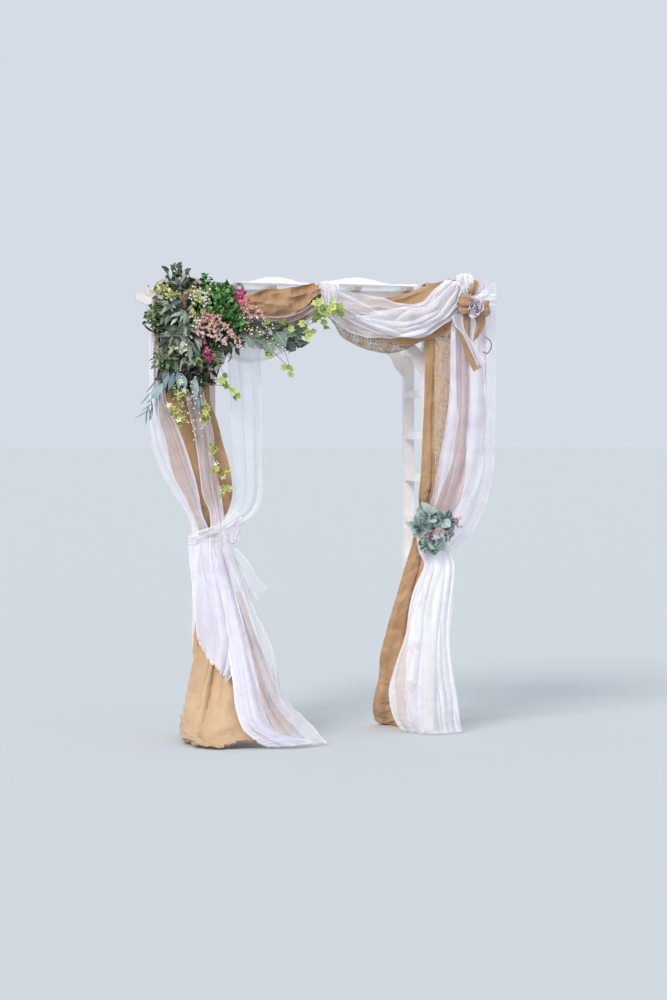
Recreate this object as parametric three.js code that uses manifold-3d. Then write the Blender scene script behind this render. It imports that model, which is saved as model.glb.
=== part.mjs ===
// A wedding arch: a painted garden arbour frame dressed with burlap, tulle and flowers.
// Millimetres. +X is to the right of somebody who stands in front, +Y goes back, +Z is up.

import * as THREE from "three";
import { mergeVertices } from "three/addons/utils/BufferGeometryUtils.js";
import Module from "manifold-3d";

const wasm = await Module();
wasm.setup();

// Driving dimensions of the frame
const CLEAR_WIDTH = 1030;
const POST = 50;
const POST_HEIGHT = 2065;
const SIDE_DEPTH = 470;
const BEAM_LENGTH = 1700;
const BEAM_DEPTH = 89;
const BEAM_THICKNESS = 38;
const BEAM_TIP_DEPTH = 28;
const BEAM_TAPER = 120;
const SLAT_WIDTH = 38;
const SLAT_THICKNESS = 19;
const SLAT_LENGTH = 600;
const SLAT_PLACES = [-660, -452, -245, -36, 171, 428, 640];
const RUNG_COUNT = 9;
const RUNG_HEIGHT = 35;
const RUNG_THICKNESS = 38;
const RUNG_LOWEST = 200;
const RUNG_PITCH = 208.5;
const BRACKET_THICKNESS = 30;
const BRACKET_REACH = 280;
const BRACKET_WIDTH = 67;
const BRACKET_TOE = 102;
const JOINT_GAP = 0.3;

// Driving dimensions of the cloth and flowers
const BURLAP_THICKNESS = 9;
const TULLE_THICKNESS = 8;
const CLOTH_GAP = 0.3;

// Planes that many pieces share
const POST_X = (CLEAR_WIDTH + POST) / 2;
const POST_Y = (SIDE_DEPTH - POST) / 2;
const FACE_Y = SIDE_DEPTH / 2;
const BEAM_Y = FACE_Y - BEAM_THICKNESS / 2;
const BEAM_BOTTOM = POST_HEIGHT + JOINT_GAP;
const BEAM_TOP = BEAM_BOTTOM + BEAM_DEPTH;
const SLAT_TOP = BEAM_TOP + JOINT_GAP + SLAT_THICKNESS;

const PAINTED_WOOD = new THREE.MeshStandardMaterial({ color: 0xe9e4da, roughness: 0.6, metalness: 0 });
const BURLAP = new THREE.MeshStandardMaterial({ color: 0xc69a5f, roughness: 0.95, metalness: 0 });
const TULLE = new THREE.MeshStandardMaterial({ color: 0xeae6ee, roughness: 0.8, metalness: 0 });
const FOLIAGE = new THREE.MeshStandardMaterial({ color: 0x6f8f6a, roughness: 0.8, metalness: 0 });

const arch = new THREE.Group();

function addPiece(name, geometry, material, place = [0, 0, 0]) {
  const piece = new THREE.Mesh(geometry, material);
  piece.name = name;
  piece.position.set(...place);
  arch.add(piece);
  return piece;
}

// Wooden frame

function outlineGeometry(points, thickness) {
  const shape = new THREE.Shape(points.map(([x, z]) => new THREE.Vector2(x, z)));
  const geometry = new THREE.ExtrudeGeometry(shape, { depth: thickness, bevelEnabled: false });
  geometry.rotateX(Math.PI / 2);
  geometry.translate(0, thickness / 2, 0);
  return geometry;
}

function addPosts() {
  for (const [side, x] of [["left", -POST_X], ["right", POST_X]]) {
    for (const [depth, y] of [["front", -POST_Y], ["back", POST_Y]]) {
      const post = new THREE.BoxGeometry(POST, POST, POST_HEIGHT);
      addPiece(`${side}_${depth}_post`, post, PAINTED_WOOD, [x, y, POST_HEIGHT / 2]);
    }
  }
}

function addRungs() {
  const length = SIDE_DEPTH - 2 * POST - 2 * JOINT_GAP;
  const x = CLEAR_WIDTH / 2 + RUNG_THICKNESS / 2;
  for (const [side, direction] of [["left", -1], ["right", 1]]) {
    for (let i = 0; i < RUNG_COUNT; i++) {
      const rung = new THREE.BoxGeometry(RUNG_THICKNESS, length, RUNG_HEIGHT);
      const z = RUNG_LOWEST + i * RUNG_PITCH;
      addPiece(`${side}_rung_${i + 1}`, rung, PAINTED_WOOD, [direction * x, 0, z]);
    }
  }
}

function beamGeometry() {
  const half = BEAM_LENGTH / 2;
  const tip = BEAM_TOP - BEAM_TIP_DEPTH;
  const outline = [
    [-half, BEAM_TOP],
    [-half, tip],
    [-half + BEAM_TAPER, BEAM_BOTTOM],
    [half - BEAM_TAPER, BEAM_BOTTOM],
    [half, tip],
    [half, BEAM_TOP],
  ];
  return outlineGeometry(outline, BEAM_THICKNESS);
}

function addBeams() {
  addPiece("front_beam", beamGeometry(), PAINTED_WOOD, [0, -BEAM_Y, 0]);
  addPiece("back_beam", beamGeometry(), PAINTED_WOOD, [0, BEAM_Y, 0]);
}

function addTopSlats() {
  SLAT_PLACES.forEach((x, i) => {
    const slat = new THREE.BoxGeometry(SLAT_WIDTH, SLAT_LENGTH, SLAT_THICKNESS);
    addPiece(`top_slat_${i + 1}`, slat, PAINTED_WOOD, [x, 0, SLAT_TOP - SLAT_THICKNESS / 2]);
  });
}

// A knee bracket runs at 45 degrees, from a shaped toe on the post up to the underside of the beam.
function bracketGeometry(direction) {
  const post = JOINT_GAP;
  const top = POST_HEIGHT - JOINT_GAP;
  const shoulder = top - BRACKET_REACH + BRACKET_WIDTH;
  const outline = [
    [post, shoulder],
    [post, shoulder - BRACKET_TOE],
    [post + 43, shoulder - BRACKET_TOE + 48],
    [post + 60, top - BRACKET_REACH + 60],
    [post + BRACKET_REACH, top],
    [post + BRACKET_REACH - BRACKET_WIDTH, top],
  ];
  return outlineGeometry(outline.map(([x, z]) => [direction * x, z]), BRACKET_THICKNESS);
}

function addBrackets() {
  for (const [depth, y] of [["front", -BEAM_Y], ["back", BEAM_Y]]) {
    addPiece(`left_${depth}_bracket`, bracketGeometry(1), PAINTED_WOOD, [-CLEAR_WIDTH / 2, y, 0]);
    addPiece(`right_${depth}_bracket`, bracketGeometry(-1), PAINTED_WOOD, [CLEAR_WIDTH / 2, y, 0]);
  }
}

// Solids for cutting and joining

function solidOf(geometry) {
  const bare = geometry.clone();
  bare.deleteAttribute("normal");
  bare.deleteAttribute("uv");
  const merged = mergeVertices(bare, 1e-3);
  const vertProperties = merged.getAttribute("position").array;
  const triVerts = new Uint32Array(merged.index.array);
  return new wasm.Manifold(new wasm.Mesh({ numProp: 3, vertProperties, triVerts }));
}

function geometryOf(solid) {
  const mesh = solid.getMesh();
  const geometry = new THREE.BufferGeometry();
  geometry.setAttribute("position", new THREE.BufferAttribute(mesh.vertProperties, 3));
  geometry.setIndex(new THREE.BufferAttribute(mesh.triVerts, 1));
  geometry.computeVertexNormals();
  return geometry;
}

function largestBody(solid) {
  const bodies = solid.decompose();
  return bodies.reduce((best, body) => (body.volume() > best.volume() ? body : best));
}

// A piece of the frame, a little larger all round, as a cutter that leaves a gap.
function clearanceOf(piece) {
  piece.geometry.computeBoundingBox();
  const size = piece.geometry.boundingBox.getSize(new THREE.Vector3());
  const middle = piece.geometry.boundingBox.getCenter(new THREE.Vector3());
  const grown = piece.geometry.clone();
  grown.translate(-middle.x, -middle.y, -middle.z);
  const factor = (side) => (side + 2 * CLOTH_GAP) / side;
  grown.scale(factor(size.x), factor(size.y), factor(size.z));
  grown.translate(middle.x + piece.position.x, middle.y + piece.position.y, middle.z + piece.position.z);
  return solidOf(grown);
}

// Cloth
// A cloth is drawn as a net: rows from its top edge to its hem, and in each row the same number of
// points from its left edge to its right edge. A smooth surface goes through all of them.

function curveThrough(points) {
  return new THREE.CatmullRomCurve3(points, false, "catmullrom");
}

function surfaceThrough(net) {
  const columns = net[0].map((_, j) => curveThrough(net.map((row) => new THREE.Vector3(...row[j]))));
  return (across, down) => curveThrough(columns.map((column) => column.getPoint(down))).getPoint(across);
}

// The surface's own directions at a point: along a row, down to the hem, and square to both.
function directionsAt(surface, across, down) {
  const step = 0.01;
  const right = surface(Math.min(across + step, 1), down).sub(surface(Math.max(across - step, 0), down));
  const lower = surface(across, Math.min(down + step, 1)).sub(surface(across, Math.max(down - step, 0)));
  const normal = right.clone().cross(lower).normalize();
  return { right: right.normalize(), lower: lower.normalize(), normal };
}

// The closed body of a cloth, grown by extra on all its sides where it is used as a cutter.
function clothGeometry(cloth, extra) {
  const { folds, foldDepth, stepsAcross, stepsDown } = cloth;
  const surface = surfaceThrough(cloth.net);
  const half = cloth.thickness / 2 + extra;
  const outward = (k, last) => (k === 0 ? -extra : k === last ? extra : 0);
  const front = [];
  const back = [];
  for (let i = 0; i <= stepsDown; i++) {
    for (let j = 0; j <= stepsAcross; j++) {
      const across = j / stepsAcross;
      const down = i / stepsDown;
      const { right, lower, normal } = directionsAt(surface, across, down);
      const rise = foldDepth * Math.sin(2 * Math.PI * folds * across) * Math.sin(Math.PI * across);
      const middle = surface(across, down).addScaledVector(normal, rise);
      middle.addScaledVector(right, outward(j, stepsAcross)).addScaledVector(lower, outward(i, stepsDown));
      front.push(middle.clone().addScaledVector(normal, -half));
      back.push(middle.clone().addScaledVector(normal, half));
    }
  }
  const at = (i, j) => i * (stepsAcross + 1) + j;
  const triangles = [];
  for (let i = 0; i < stepsDown; i++) {
    for (let j = 0; j < stepsAcross; j++) {
      const [a, b, c, d] = [at(i, j), at(i, j + 1), at(i + 1, j + 1), at(i + 1, j)];
      triangles.push(a, d, b, b, d, c);
      triangles.push(...[a, b, d, b, c, d].map((k) => k + front.length));
    }
  }
  const rim = [];
  for (let j = 0; j < stepsAcross; j++) rim.push(at(0, j));
  for (let i = 0; i < stepsDown; i++) rim.push(at(i, stepsAcross));
  for (let j = stepsAcross; j > 0; j--) rim.push(at(stepsDown, j));
  for (let i = stepsDown; i > 0; i--) rim.push(at(i, 0));
  rim.forEach((p, k) => {
    const q = rim[(k + 1) % rim.length];
    triangles.push(q + front.length, p + front.length, p, q + front.length, p, q);
  });
  const geometry = new THREE.BufferGeometry().setFromPoints([...front, ...back]);
  geometry.setIndex(triangles);
  return geometry;
}

function clothSolid(cloth, extra = 0) {
  return solidOf(clothGeometry(cloth, extra));
}

// Nothing may go below the floor that the arch stands on.
function aboveFloor(solid) {
  const below = new THREE.BoxGeometry(4000, 4000, 1000);
  below.translate(0, 0, -500);
  return solid.subtract(solidOf(below));
}

// Each soft piece is trimmed so that it stays a little clear of what it lies against.
function addSoftPiece(name, solid, material, neighbours) {
  let trimmed = aboveFloor(solid);
  for (const neighbour of neighbours) {
    trimmed = trimmed.subtract(neighbour);
  }
  return addPiece(name, geometryOf(largestBody(trimmed)), material);
}

// The cloths, from rows of [x, y, z]

const LEFT_BURLAP = {
  thickness: BURLAP_THICKNESS,
  folds: 2,
  foldDepth: 14,
  stepsAcross: 9,
  stepsDown: 22,
  net: [
    [[-700, -150, 2178], [-610, -150, 2178], [-520, -150, 2178]],
    [[-725, -302, 2176], [-620, -304, 2176], [-510, -302, 2176]],
    [[-735, -300, 2040], [-630, -300, 2040], [-525, -290, 2040]],
    [[-742, -285, 1660], [-645, -285, 1660], [-555, -275, 1660]],
    [[-733, -280, 1450], [-610, -280, 1450], [-500, -270, 1450]],
    [[-665, -275, 1315], [-570, -275, 1315], [-462, -265, 1315]],
    [[-627, -270, 1190], [-545, -270, 1190], [-444, -262, 1190]],
    [[-600, -258, 1090], [-530, -262, 1090], [-455, -262, 1090]],
    [[-590, -246, 975], [-545, -252, 970], [-498, -250, 975]],
    [[-600, -260, 800], [-540, -280, 800], [-480, -272, 800]],
    [[-610, -272, 600], [-530, -325, 600], [-440, -315, 600]],
    [[-620, -285, 380], [-560, -405, 380], [-430, -395, 380]],
    [[-648, -250, 210], [-610, -485, 200], [-420, -495, 200]],
    [[-650, -190, 80], [-650, -560, 60], [-400, -610, 60]],
    [[-640, -130, 8], [-650, -650, 8], [-370, -700, 8]],
  ],
};

const LEFT_TULLE = {
  thickness: TULLE_THICKNESS,
  folds: 2,
  foldDepth: 12,
  stepsAcross: 11,
  stepsDown: 24,
  net: [
    [[-790, -90, 2177], [-620, -90, 2177], [-480, -90, 2177]],
    [[-815, -316, 2192], [-620, -324, 2194], [-475, -318, 2192]],
    [[-835, -318, 2060], [-620, -324, 2060], [-450, -308, 2060]],
    [[-842, -312, 1880], [-610, -322, 1880], [-330, -270, 1880]],
    [[-848, -302, 1660], [-590, -318, 1660], [-290, -275, 1660]],
    [[-846, -297, 1450], [-570, -314, 1450], [-286, -280, 1450]],
    [[-800, -292, 1300], [-550, -310, 1300], [-286, -280, 1300]],
    [[-735, -287, 1150], [-545, -306, 1160], [-305, -280, 1150]],
    [[-670, -280, 1020], [-545, -294, 1040], [-400, -278, 1020]],
    [[-645, -276, 930], [-548, -288, 940], [-470, -278, 930]],
    [[-636, -290, 830], [-540, -320, 830], [-430, -305, 830]],
    [[-625, -305, 660], [-510, -370, 660], [-350, -340, 660]],
    [[-612, -325, 480], [-480, -450, 480], [-280, -400, 480]],
    [[-575, -400, 330], [-440, -540, 330], [-215, -450, 330]],
    [[-500, -530, 190], [-380, -640, 190], [-170, -530, 190]],
    [[-440, -665, 70], [-300, -705, 70], [-90, -620, 60]],
    [[-440, -740, 8], [-290, -745, 8], [-55, -690, 8]],
  ],
};

// The corner of tulle that comes out of the knot
const TULLE_TAIL = {
  thickness: TULLE_THICKNESS,
  folds: 1,
  foldDepth: 6,
  stepsAcross: 4,
  stepsDown: 8,
  net: [
    [[-520, -300, 990], [-510, -300, 940], [-500, -300, 890]],
    [[-440, -318, 925], [-430, -322, 870], [-425, -322, 820]],
    [[-370, -330, 850], [-365, -334, 790], [-365, -334, 730]],
    [[-318, -330, 765], [-322, -332, 715], [-330, -332, 665]],
    [[-278, -325, 722], [-300, -326, 680], [-330, -326, 640]],
  ],
};

const RIGHT_BURLAP = {
  thickness: BURLAP_THICKNESS,
  folds: 1,
  foldDepth: 10,
  stepsAcross: 7,
  stepsDown: 22,
  net: [
    [[520, -150, 2178], [580, -150, 2178], [640, -150, 2178]],
    [[515, -302, 2176], [580, -304, 2176], [650, -302, 2176]],
    [[512, -295, 2040], [580, -298, 2040], [650, -292, 2040]],
    [[512, -285, 1700], [575, -290, 1700], [640, -282, 1700]],
    [[509, -278, 1450], [560, -284, 1450], [609, -275, 1450]],
    [[496, -270, 1255], [535, -276, 1255], [575, -268, 1255]],
    [[482, -256, 1130], [520, -260, 1130], [560, -256, 1130]],
    [[465, -244, 1010], [500, -246, 1010], [540, -244, 1010]],
    [[447, -258, 930], [485, -262, 930], [520, -254, 930]],
    [[395, -225, 750], [445, -245, 750], [500, -262, 750]],
    [[340, -165, 540], [400, -195, 540], [470, -255, 540]],
    [[310, -110, 350], [385, -130, 350], [440, -240, 350]],
    [[330, -20, 180], [400, -50, 190], [440, -200, 190]],
    [[350, 60, 60], [420, 10, 60], [470, -150, 60]],
    [[380, 110, 8], [450, 40, 8], [480, -130, 8]],
  ],
};

const RIGHT_TULLE = {
  thickness: TULLE_THICKNESS,
  folds: 2,
  foldDepth: 12,
  stepsAcross: 10,
  stepsDown: 22,
  net: [
    [[600, -90, 2177], [715, -90, 2177], [835, -90, 2177]],
    [[590, -318, 2190], [720, -318, 2192], [858, -314, 2190]],
    [[595, -314, 2040], [730, -314, 2040], [868, -306, 2040]],
    [[600, -306, 1700], [735, -302, 1700], [872, -296, 1700]],
    [[590, -300, 1450], [730, -296, 1450], [872, -290, 1450]],
    [[570, -296, 1280], [715, -290, 1280], [870, -286, 1280]],
    [[550, -288, 1140], [690, -282, 1140], [838, -280, 1140]],
    [[500, -276, 1010], [590, -278, 1000], [690, -276, 990]],
    [[470, -284, 930], [540, -288, 920], [610, -284, 910]],
    [[480, -292, 800], [550, -305, 800], [625, -295, 800]],
    [[430, -290, 600], [520, -330, 600], [625, -305, 600]],
    [[385, -280, 400], [500, -345, 400], [630, -315, 400]],
    [[345, -275, 230], [490, -360, 230], [650, -325, 230]],
    [[360, -270, 80], [500, -380, 80], [670, -340, 80]],
    [[410, -265, 8], [520, -400, 8], [680, -360, 8]],
  ],
};

// The swags hang in two scallops, with the gathered place between them near the middle of the beam.
const SWAG_X = [-455, -340, -200, -80, 20, 110, 220, 340, 460, 560, 660];

function swagRow(places, heights) {
  return SWAG_X.map((x, i) => [x, places[i], heights[i]]);
}

const SWAG_BURLAP = {
  thickness: BURLAP_THICKNESS,
  folds: 0,
  foldDepth: 0,
  stepsAcross: 30,
  stepsDown: 7,
  net: [
    swagRow(SWAG_X.map(() => -120), [2178, 2178, 2178, 2178, 2178, 2178, 2178, 2178, 2180, 2196, 2200]),
    swagRow([-330, -326, -324, -324, -324, -324, -324, -324, -326, -336, -340],
      [2180, 2178, 2178, 2178, 2178, 2178, 2178, 2178, 2182, 2200, 2204]),
    swagRow([-334, -328, -322, -324, -328, -324, -320, -320, -324, -334, -340],
      [2110, 2090, 2080, 2095, 2110, 2080, 2050, 2030, 2040, 2075, 2120]),
    swagRow([-332, -322, -314, -318, -328, -314, -308, -306, -314, -330, -340],
      [2040, 1995, 1970, 1995, 2040, 1960, 1890, 1860, 1895, 1950, 2030]),
    swagRow([-330, -318, -310, -314, -324, -310, -304, -302, -312, -328, -338],
      [2000, 1955, 1940, 1960, 2000, 1920, 1855, 1837, 1875, 1922, 1990]),
  ],
};

const SWAG_TULLE = {
  thickness: TULLE_THICKNESS,
  folds: 0,
  foldDepth: 0,
  stepsAcross: 30,
  stepsDown: 8,
  net: [
    swagRow(SWAG_X.map(() => -30), [2177, 2177, 2177, 2177, 2177, 2177, 2177, 2177, 2177, 2190, 2200]),
    swagRow(SWAG_X.map(() => -160), [2196, 2196, 2200, 2196, 2196, 2200, 2200, 2196, 2198, 2214, 2216]),
    swagRow([-345, -342, -340, -340, -342, -340, -340, -340, -344, -352, -356],
      [2196, 2192, 2192, 2192, 2192, 2194, 2194, 2192, 2196, 2212, 2214]),
    swagRow([-350, -344, -338, -340, -348, -342, -338, -338, -344, -352, -358],
      [2080, 2070, 2060, 2070, 2100, 2070, 2040, 2020, 2030, 2070, 2120]),
    swagRow([-348, -338, -330, -334, -348, -336, -328, -326, -336, -350, -358],
      [1990, 1930, 1900, 1920, 2020, 1985, 1940, 1925, 1935, 1985, 2050]),
    swagRow([-344, -334, -326, -330, -346, -334, -326, -324, -334, -348, -356],
      [1930, 1870, 1840, 1860, 1990, 1960, 1915, 1903, 1916, 1960, 2010]),
  ],
};

// Flowers and bow
// A bunch is a rounded lump: its middle, its half sizes and how far it leans about +Y, in degrees.

function bunchSolid([middle, halfSizes, lean]) {
  const bunch = new THREE.IcosahedronGeometry(1, 1);
  bunch.scale(...halfSizes);
  bunch.rotateY(THREE.MathUtils.degToRad(lean));
  bunch.translate(...middle);
  return solidOf(bunch);
}

function bunchesSolid(bunches) {
  return bunches.map(bunchSolid).reduce((joined, bunch) => joined.add(bunch));
}

const CORNER_FLOWERS = [
  [[-700, -395, 2090], [130, 75, 130], 0],
  [[-550, -400, 2080], [130, 80, 130], 0],
  [[-780, -372, 1950], [90, 60, 120], 0],
  [[-640, -398, 1900], [130, 80, 140], 0],
  [[-490, -390, 1930], [115, 66, 115], 0],
  [[-720, -372, 1750], [100, 62, 130], 0],
  [[-600, -375, 1770], [95, 60, 115], 0],
  [[-390, -392, 1990], [135, 56, 78], 20],
  [[-250, -390, 1930], [135, 48, 62], 15],
  [[-785, -352, 1660], [62, 44, 75], 0],
  [[-665, -358, 1610], [64, 48, 95], 0],
  [[-110, -386, 2010], [120, 38, 48], -10],
];

const DRAPE_SPRIG = [
  [[-505, -330, 1285], [42, 30, 68], 20],
  [[-480, -328, 1220], [38, 30, 60], 10],
];

const TIE_BACK_FLOWERS = [
  [[490, -318, 1040], [92, 50, 88], 0],
  [[575, -318, 1020], [88, 48, 80], 0],
  [[530, -322, 935], [90, 50, 75], 0],
];

const CORNER_BOW = [
  [[745, -375, 2075], [54, 42, 54], 0],
  [[700, -385, 2170], [60, 38, 58], 30],
  [[760, -375, 2165], [50, 36, 50], 0],
  [[695, -385, 2080], [55, 34, 52], 0],
  [[805, -362, 2110], [52, 34, 66], -30],
  [[795, -360, 2040], [44, 32, 56], 0],
  [[730, -352, 1990], [64, 28, 100], 0],
  [[765, -345, 1900], [48, 24, 100], 0],
  [[735, -335, 1820], [48, 20, 95], 20],
];

// The knot in the left tulle
const TULLE_KNOT = [
  [[-545, -318, 950], [60, 38, 52], 20],
];

function tulleWithKnot(extra) {
  return clothSolid(LEFT_TULLE, extra).add(clothSolid(TULLE_TAIL, extra)).add(bunchesSolid(TULLE_KNOT));
}

function addCloths(frame) {
  const cutters = frame.map(clearanceOf);
  const leftBurlap = clothSolid(LEFT_BURLAP, CLOTH_GAP);
  const rightBurlap = clothSolid(RIGHT_BURLAP, CLOTH_GAP);
  const leftTulle = tulleWithKnot(CLOTH_GAP);
  const rightTulle = clothSolid(RIGHT_TULLE, CLOTH_GAP);
  const swagBurlap = clothSolid(SWAG_BURLAP, CLOTH_GAP);
  const swagTulle = clothSolid(SWAG_TULLE, CLOTH_GAP);
  addSoftPiece("left_burlap_drape", clothSolid(LEFT_BURLAP), BURLAP, cutters);
  addSoftPiece("right_burlap_drape", clothSolid(RIGHT_BURLAP), BURLAP, cutters);
  addSoftPiece("swag_burlap", clothSolid(SWAG_BURLAP), BURLAP, [...cutters, leftBurlap, rightBurlap]);
  const underTulle = [...cutters, leftBurlap, rightBurlap, swagBurlap];
  addSoftPiece("left_tulle_drape", tulleWithKnot(0), TULLE, underTulle);
  addSoftPiece("right_tulle_drape", clothSolid(RIGHT_TULLE), TULLE, underTulle);
  addSoftPiece("swag_tulle", clothSolid(SWAG_TULLE), TULLE, [...underTulle, leftTulle, rightTulle]);
  const cloths = [...underTulle, leftTulle, rightTulle, swagTulle];
  addSoftPiece("corner_flowers", bunchesSolid(CORNER_FLOWERS), FOLIAGE, cloths);
  addSoftPiece("drape_sprig", bunchesSolid(DRAPE_SPRIG), FOLIAGE, cloths);
  addSoftPiece("tie_back_flowers", bunchesSolid(TIE_BACK_FLOWERS), FOLIAGE, cloths);
  addSoftPiece("corner_bow", bunchesSolid(CORNER_BOW), BURLAP, cloths);
}

addPosts();
addRungs();
addBeams();
addTopSlats();
addBrackets();
addCloths([...arch.children]);

// The origin is on the floor, under the middle of the dressed arch.
const reach = new THREE.Box3().setFromObject(arch);
const middle = reach.getCenter(new THREE.Vector3());
arch.position.set(-middle.x, -middle.y, 0);

export default arch;
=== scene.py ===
"""A painted garden arch dressed with burlap, tulle, a bow and artificial flowers."""

import math

import bpy
import numpy as np
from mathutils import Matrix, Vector


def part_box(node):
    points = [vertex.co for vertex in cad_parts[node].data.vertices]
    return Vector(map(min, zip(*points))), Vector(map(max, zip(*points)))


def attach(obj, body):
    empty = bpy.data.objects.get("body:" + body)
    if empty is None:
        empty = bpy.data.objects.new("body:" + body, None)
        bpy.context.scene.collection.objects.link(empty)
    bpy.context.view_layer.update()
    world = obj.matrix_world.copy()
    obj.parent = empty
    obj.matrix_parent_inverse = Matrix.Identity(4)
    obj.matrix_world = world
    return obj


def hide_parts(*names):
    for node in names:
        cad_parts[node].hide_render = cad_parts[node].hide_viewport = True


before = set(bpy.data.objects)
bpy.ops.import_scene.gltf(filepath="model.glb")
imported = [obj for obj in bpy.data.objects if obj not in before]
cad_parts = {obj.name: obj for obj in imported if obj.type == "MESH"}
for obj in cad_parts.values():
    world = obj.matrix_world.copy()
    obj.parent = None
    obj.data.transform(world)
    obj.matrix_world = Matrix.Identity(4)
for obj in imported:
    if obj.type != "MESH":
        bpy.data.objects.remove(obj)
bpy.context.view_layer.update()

TURN = 2 * math.pi
# Tables of points are in millimetres, measured from the floor under the middle of the wooden frame
MM = 0.001
front_left, back_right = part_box("left_front_post")[0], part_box("right_back_post")[1]
FRAME_MIDDLE = np.array([(front_left.x + back_right.x) / 2, (front_left.y + back_right.y) / 2, 0.0])
FLOOR_CLEARANCE = 2.0


def in_metres(points):
    """Points of the tables in metres, in the arch's own frame."""
    return np.asarray(points, float) * MM + FRAME_MIDDLE


# Meshes

def fill_mesh(mesh, points, faces, uv=None, values=None):
    """Writes points, and faces that all have the same number of corners, with a value for each point."""
    faces = np.asarray(faces, np.int32)
    corners = faces.shape[1]
    mesh.vertices.add(len(points))
    mesh.vertices.foreach_set("co", np.asarray(points, np.float32).ravel())
    mesh.loops.add(faces.size)
    mesh.loops.foreach_set("vertex_index", faces.ravel())
    mesh.polygons.add(len(faces))
    mesh.polygons.foreach_set("loop_start", np.arange(0, faces.size, corners, dtype=np.int32))
    mesh.polygons.foreach_set("loop_total", np.full(len(faces), corners, np.int32))
    mesh.update(calc_edges=True)
    if uv is not None:
        layer = mesh.uv_layers.new(name="UVMap")
        layer.data.foreach_set("uv", np.asarray(uv, np.float32)[faces.ravel()].ravel())
    for name, value in (values or {}).items():
        attribute = mesh.attributes.new(name, "FLOAT", "POINT")
        attribute.data.foreach_set("value", np.asarray(value, np.float32))
    mesh.shade_smooth()


def make_piece(name, points, faces, finish, uv, values, replaced=()):
    """A visible piece from table points, in one finish; it rides on the arch's one body."""
    mesh = bpy.data.meshes.new(name)
    fill_mesh(mesh, in_metres(points), faces, uv, values)
    piece = bpy.data.objects.new(name, mesh)
    bpy.context.scene.collection.objects.link(piece)
    piece.data.materials.append(finish.material)
    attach(piece, "root")
    if replaced:
        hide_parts(*replaced)
    return piece


# Smooth lines and surfaces

def curve_through(points, places):
    """A smooth line through points (the first axis), at places from 0 to 1; it works on whole rows too."""
    points = np.asarray(points, float)
    last = len(points) - 1
    padded = np.concatenate([[2 * points[0] - points[1]], points, [2 * points[-1] - points[-2]]])
    place = np.clip(np.asarray(places, float) * last, 0, last)
    start = np.minimum(place.astype(int), last - 1)
    part = (place - start).reshape(-1, *[1] * (points.ndim - 1))
    before, here, there, after = (padded[start + k] for k in range(4))
    leaving, arriving = (there - before) / 2, (after - here) / 2
    return (here * (2 * part**3 - 3 * part**2 + 1) + leaving * (part**3 - 2 * part**2 + part)
            + there * (3 * part**2 - 2 * part**3) + arriving * (part**3 - part**2))


def unit(vectors):
    """The same directions, each of length 1."""
    return vectors / np.maximum(np.linalg.norm(vectors, axis=-1, keepdims=True), 1e-9)


def surface_through(net, across, down):
    """The points of a smooth surface through a net, as rows from its top edge to its hem."""
    rows = curve_through(net, down)
    return curve_through(rows.transpose(1, 0, 2), across).transpose(1, 0, 2)


def grid_directions(points):
    """Along a row, down a column, and square to both, at each point of a grid."""
    right = unit(np.gradient(points, axis=1))
    lower = unit(np.gradient(points, axis=0))
    return right, lower, unit(np.cross(right, lower))


def grid_faces(rows, columns):
    """The four-cornered faces of a grid of points that is stored row by row."""
    place = np.arange(rows * columns).reshape(rows, columns)
    corners = [place[:-1, :-1], place[1:, :-1], place[1:, 1:], place[:-1, 1:]]
    return np.stack([c.ravel() for c in corners], axis=1)


# Cloth

# Waves that run the length of a cloth are its folds. Their number and size change a little on the way.
FOLD_WAVES = 7
FOLD_SCALE = 0.55
FOLD_SWINGS = ((0.05, 1.3), (0.025, 3.1))

# Creases are small ridges in all directions, and smaller ones lie between them
CREASE_WAVES = 8
CREASE_HEIGHT = 2.2
SMALL_CREASE_LENGTH = 0.42
SMALL_CREASE_HEIGHT = 0.45

# Threads crowd together where a fold turns edge on and where the cloth narrows
EDGE_ON = 0.3
LEAST_GATHERED, MOST_GATHERED = 0.8, 3.5

# A ragged hem frays from there on, over that part of the cloth's length
FRAYED_FROM, FRAYED_PART = 0.93, 0.07


def fold_waves(across, down, folds, drift, rng):
    """How far each point rises and sways in the folds, both mostly between -1 and 1."""
    for swing, rate in FOLD_SWINGS:
        across = across + swing * np.sin(TURN * (rate * across + rng.uniform(0, 1)))
    rise = np.zeros((len(down), len(across)))
    sway = np.zeros_like(rise)
    for wave in range(FOLD_WAVES):
        pace = rng.uniform(0.4, 1.1) if wave % 2 else rng.uniform(1.0, 1.8)
        bend = drift * rng.normal() * np.sin(math.pi * (rng.uniform(0.4, 1.8) * down + rng.uniform(0, 2)))
        where = rng.uniform(0.4, 1.6) * across[None, :] + rng.uniform(-0.8, 0.8) * down[:, None]
        strength = 0.6 + 0.4 * np.sin(TURN * (where + rng.uniform(0, 1)))
        strength = strength * (1 + 0.4 * np.sin(TURN * (rng.uniform(0.5, 1.5) * down + 0.3))[:, None])
        turn = TURN * (folds * pace * across[None, :] + bend[:, None] + rng.uniform(0, 1))
        rise += strength * np.sin(turn) / pace
        sway += strength * np.cos(turn) / pace
    return rise * FOLD_SCALE, sway * FOLD_SCALE


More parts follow.
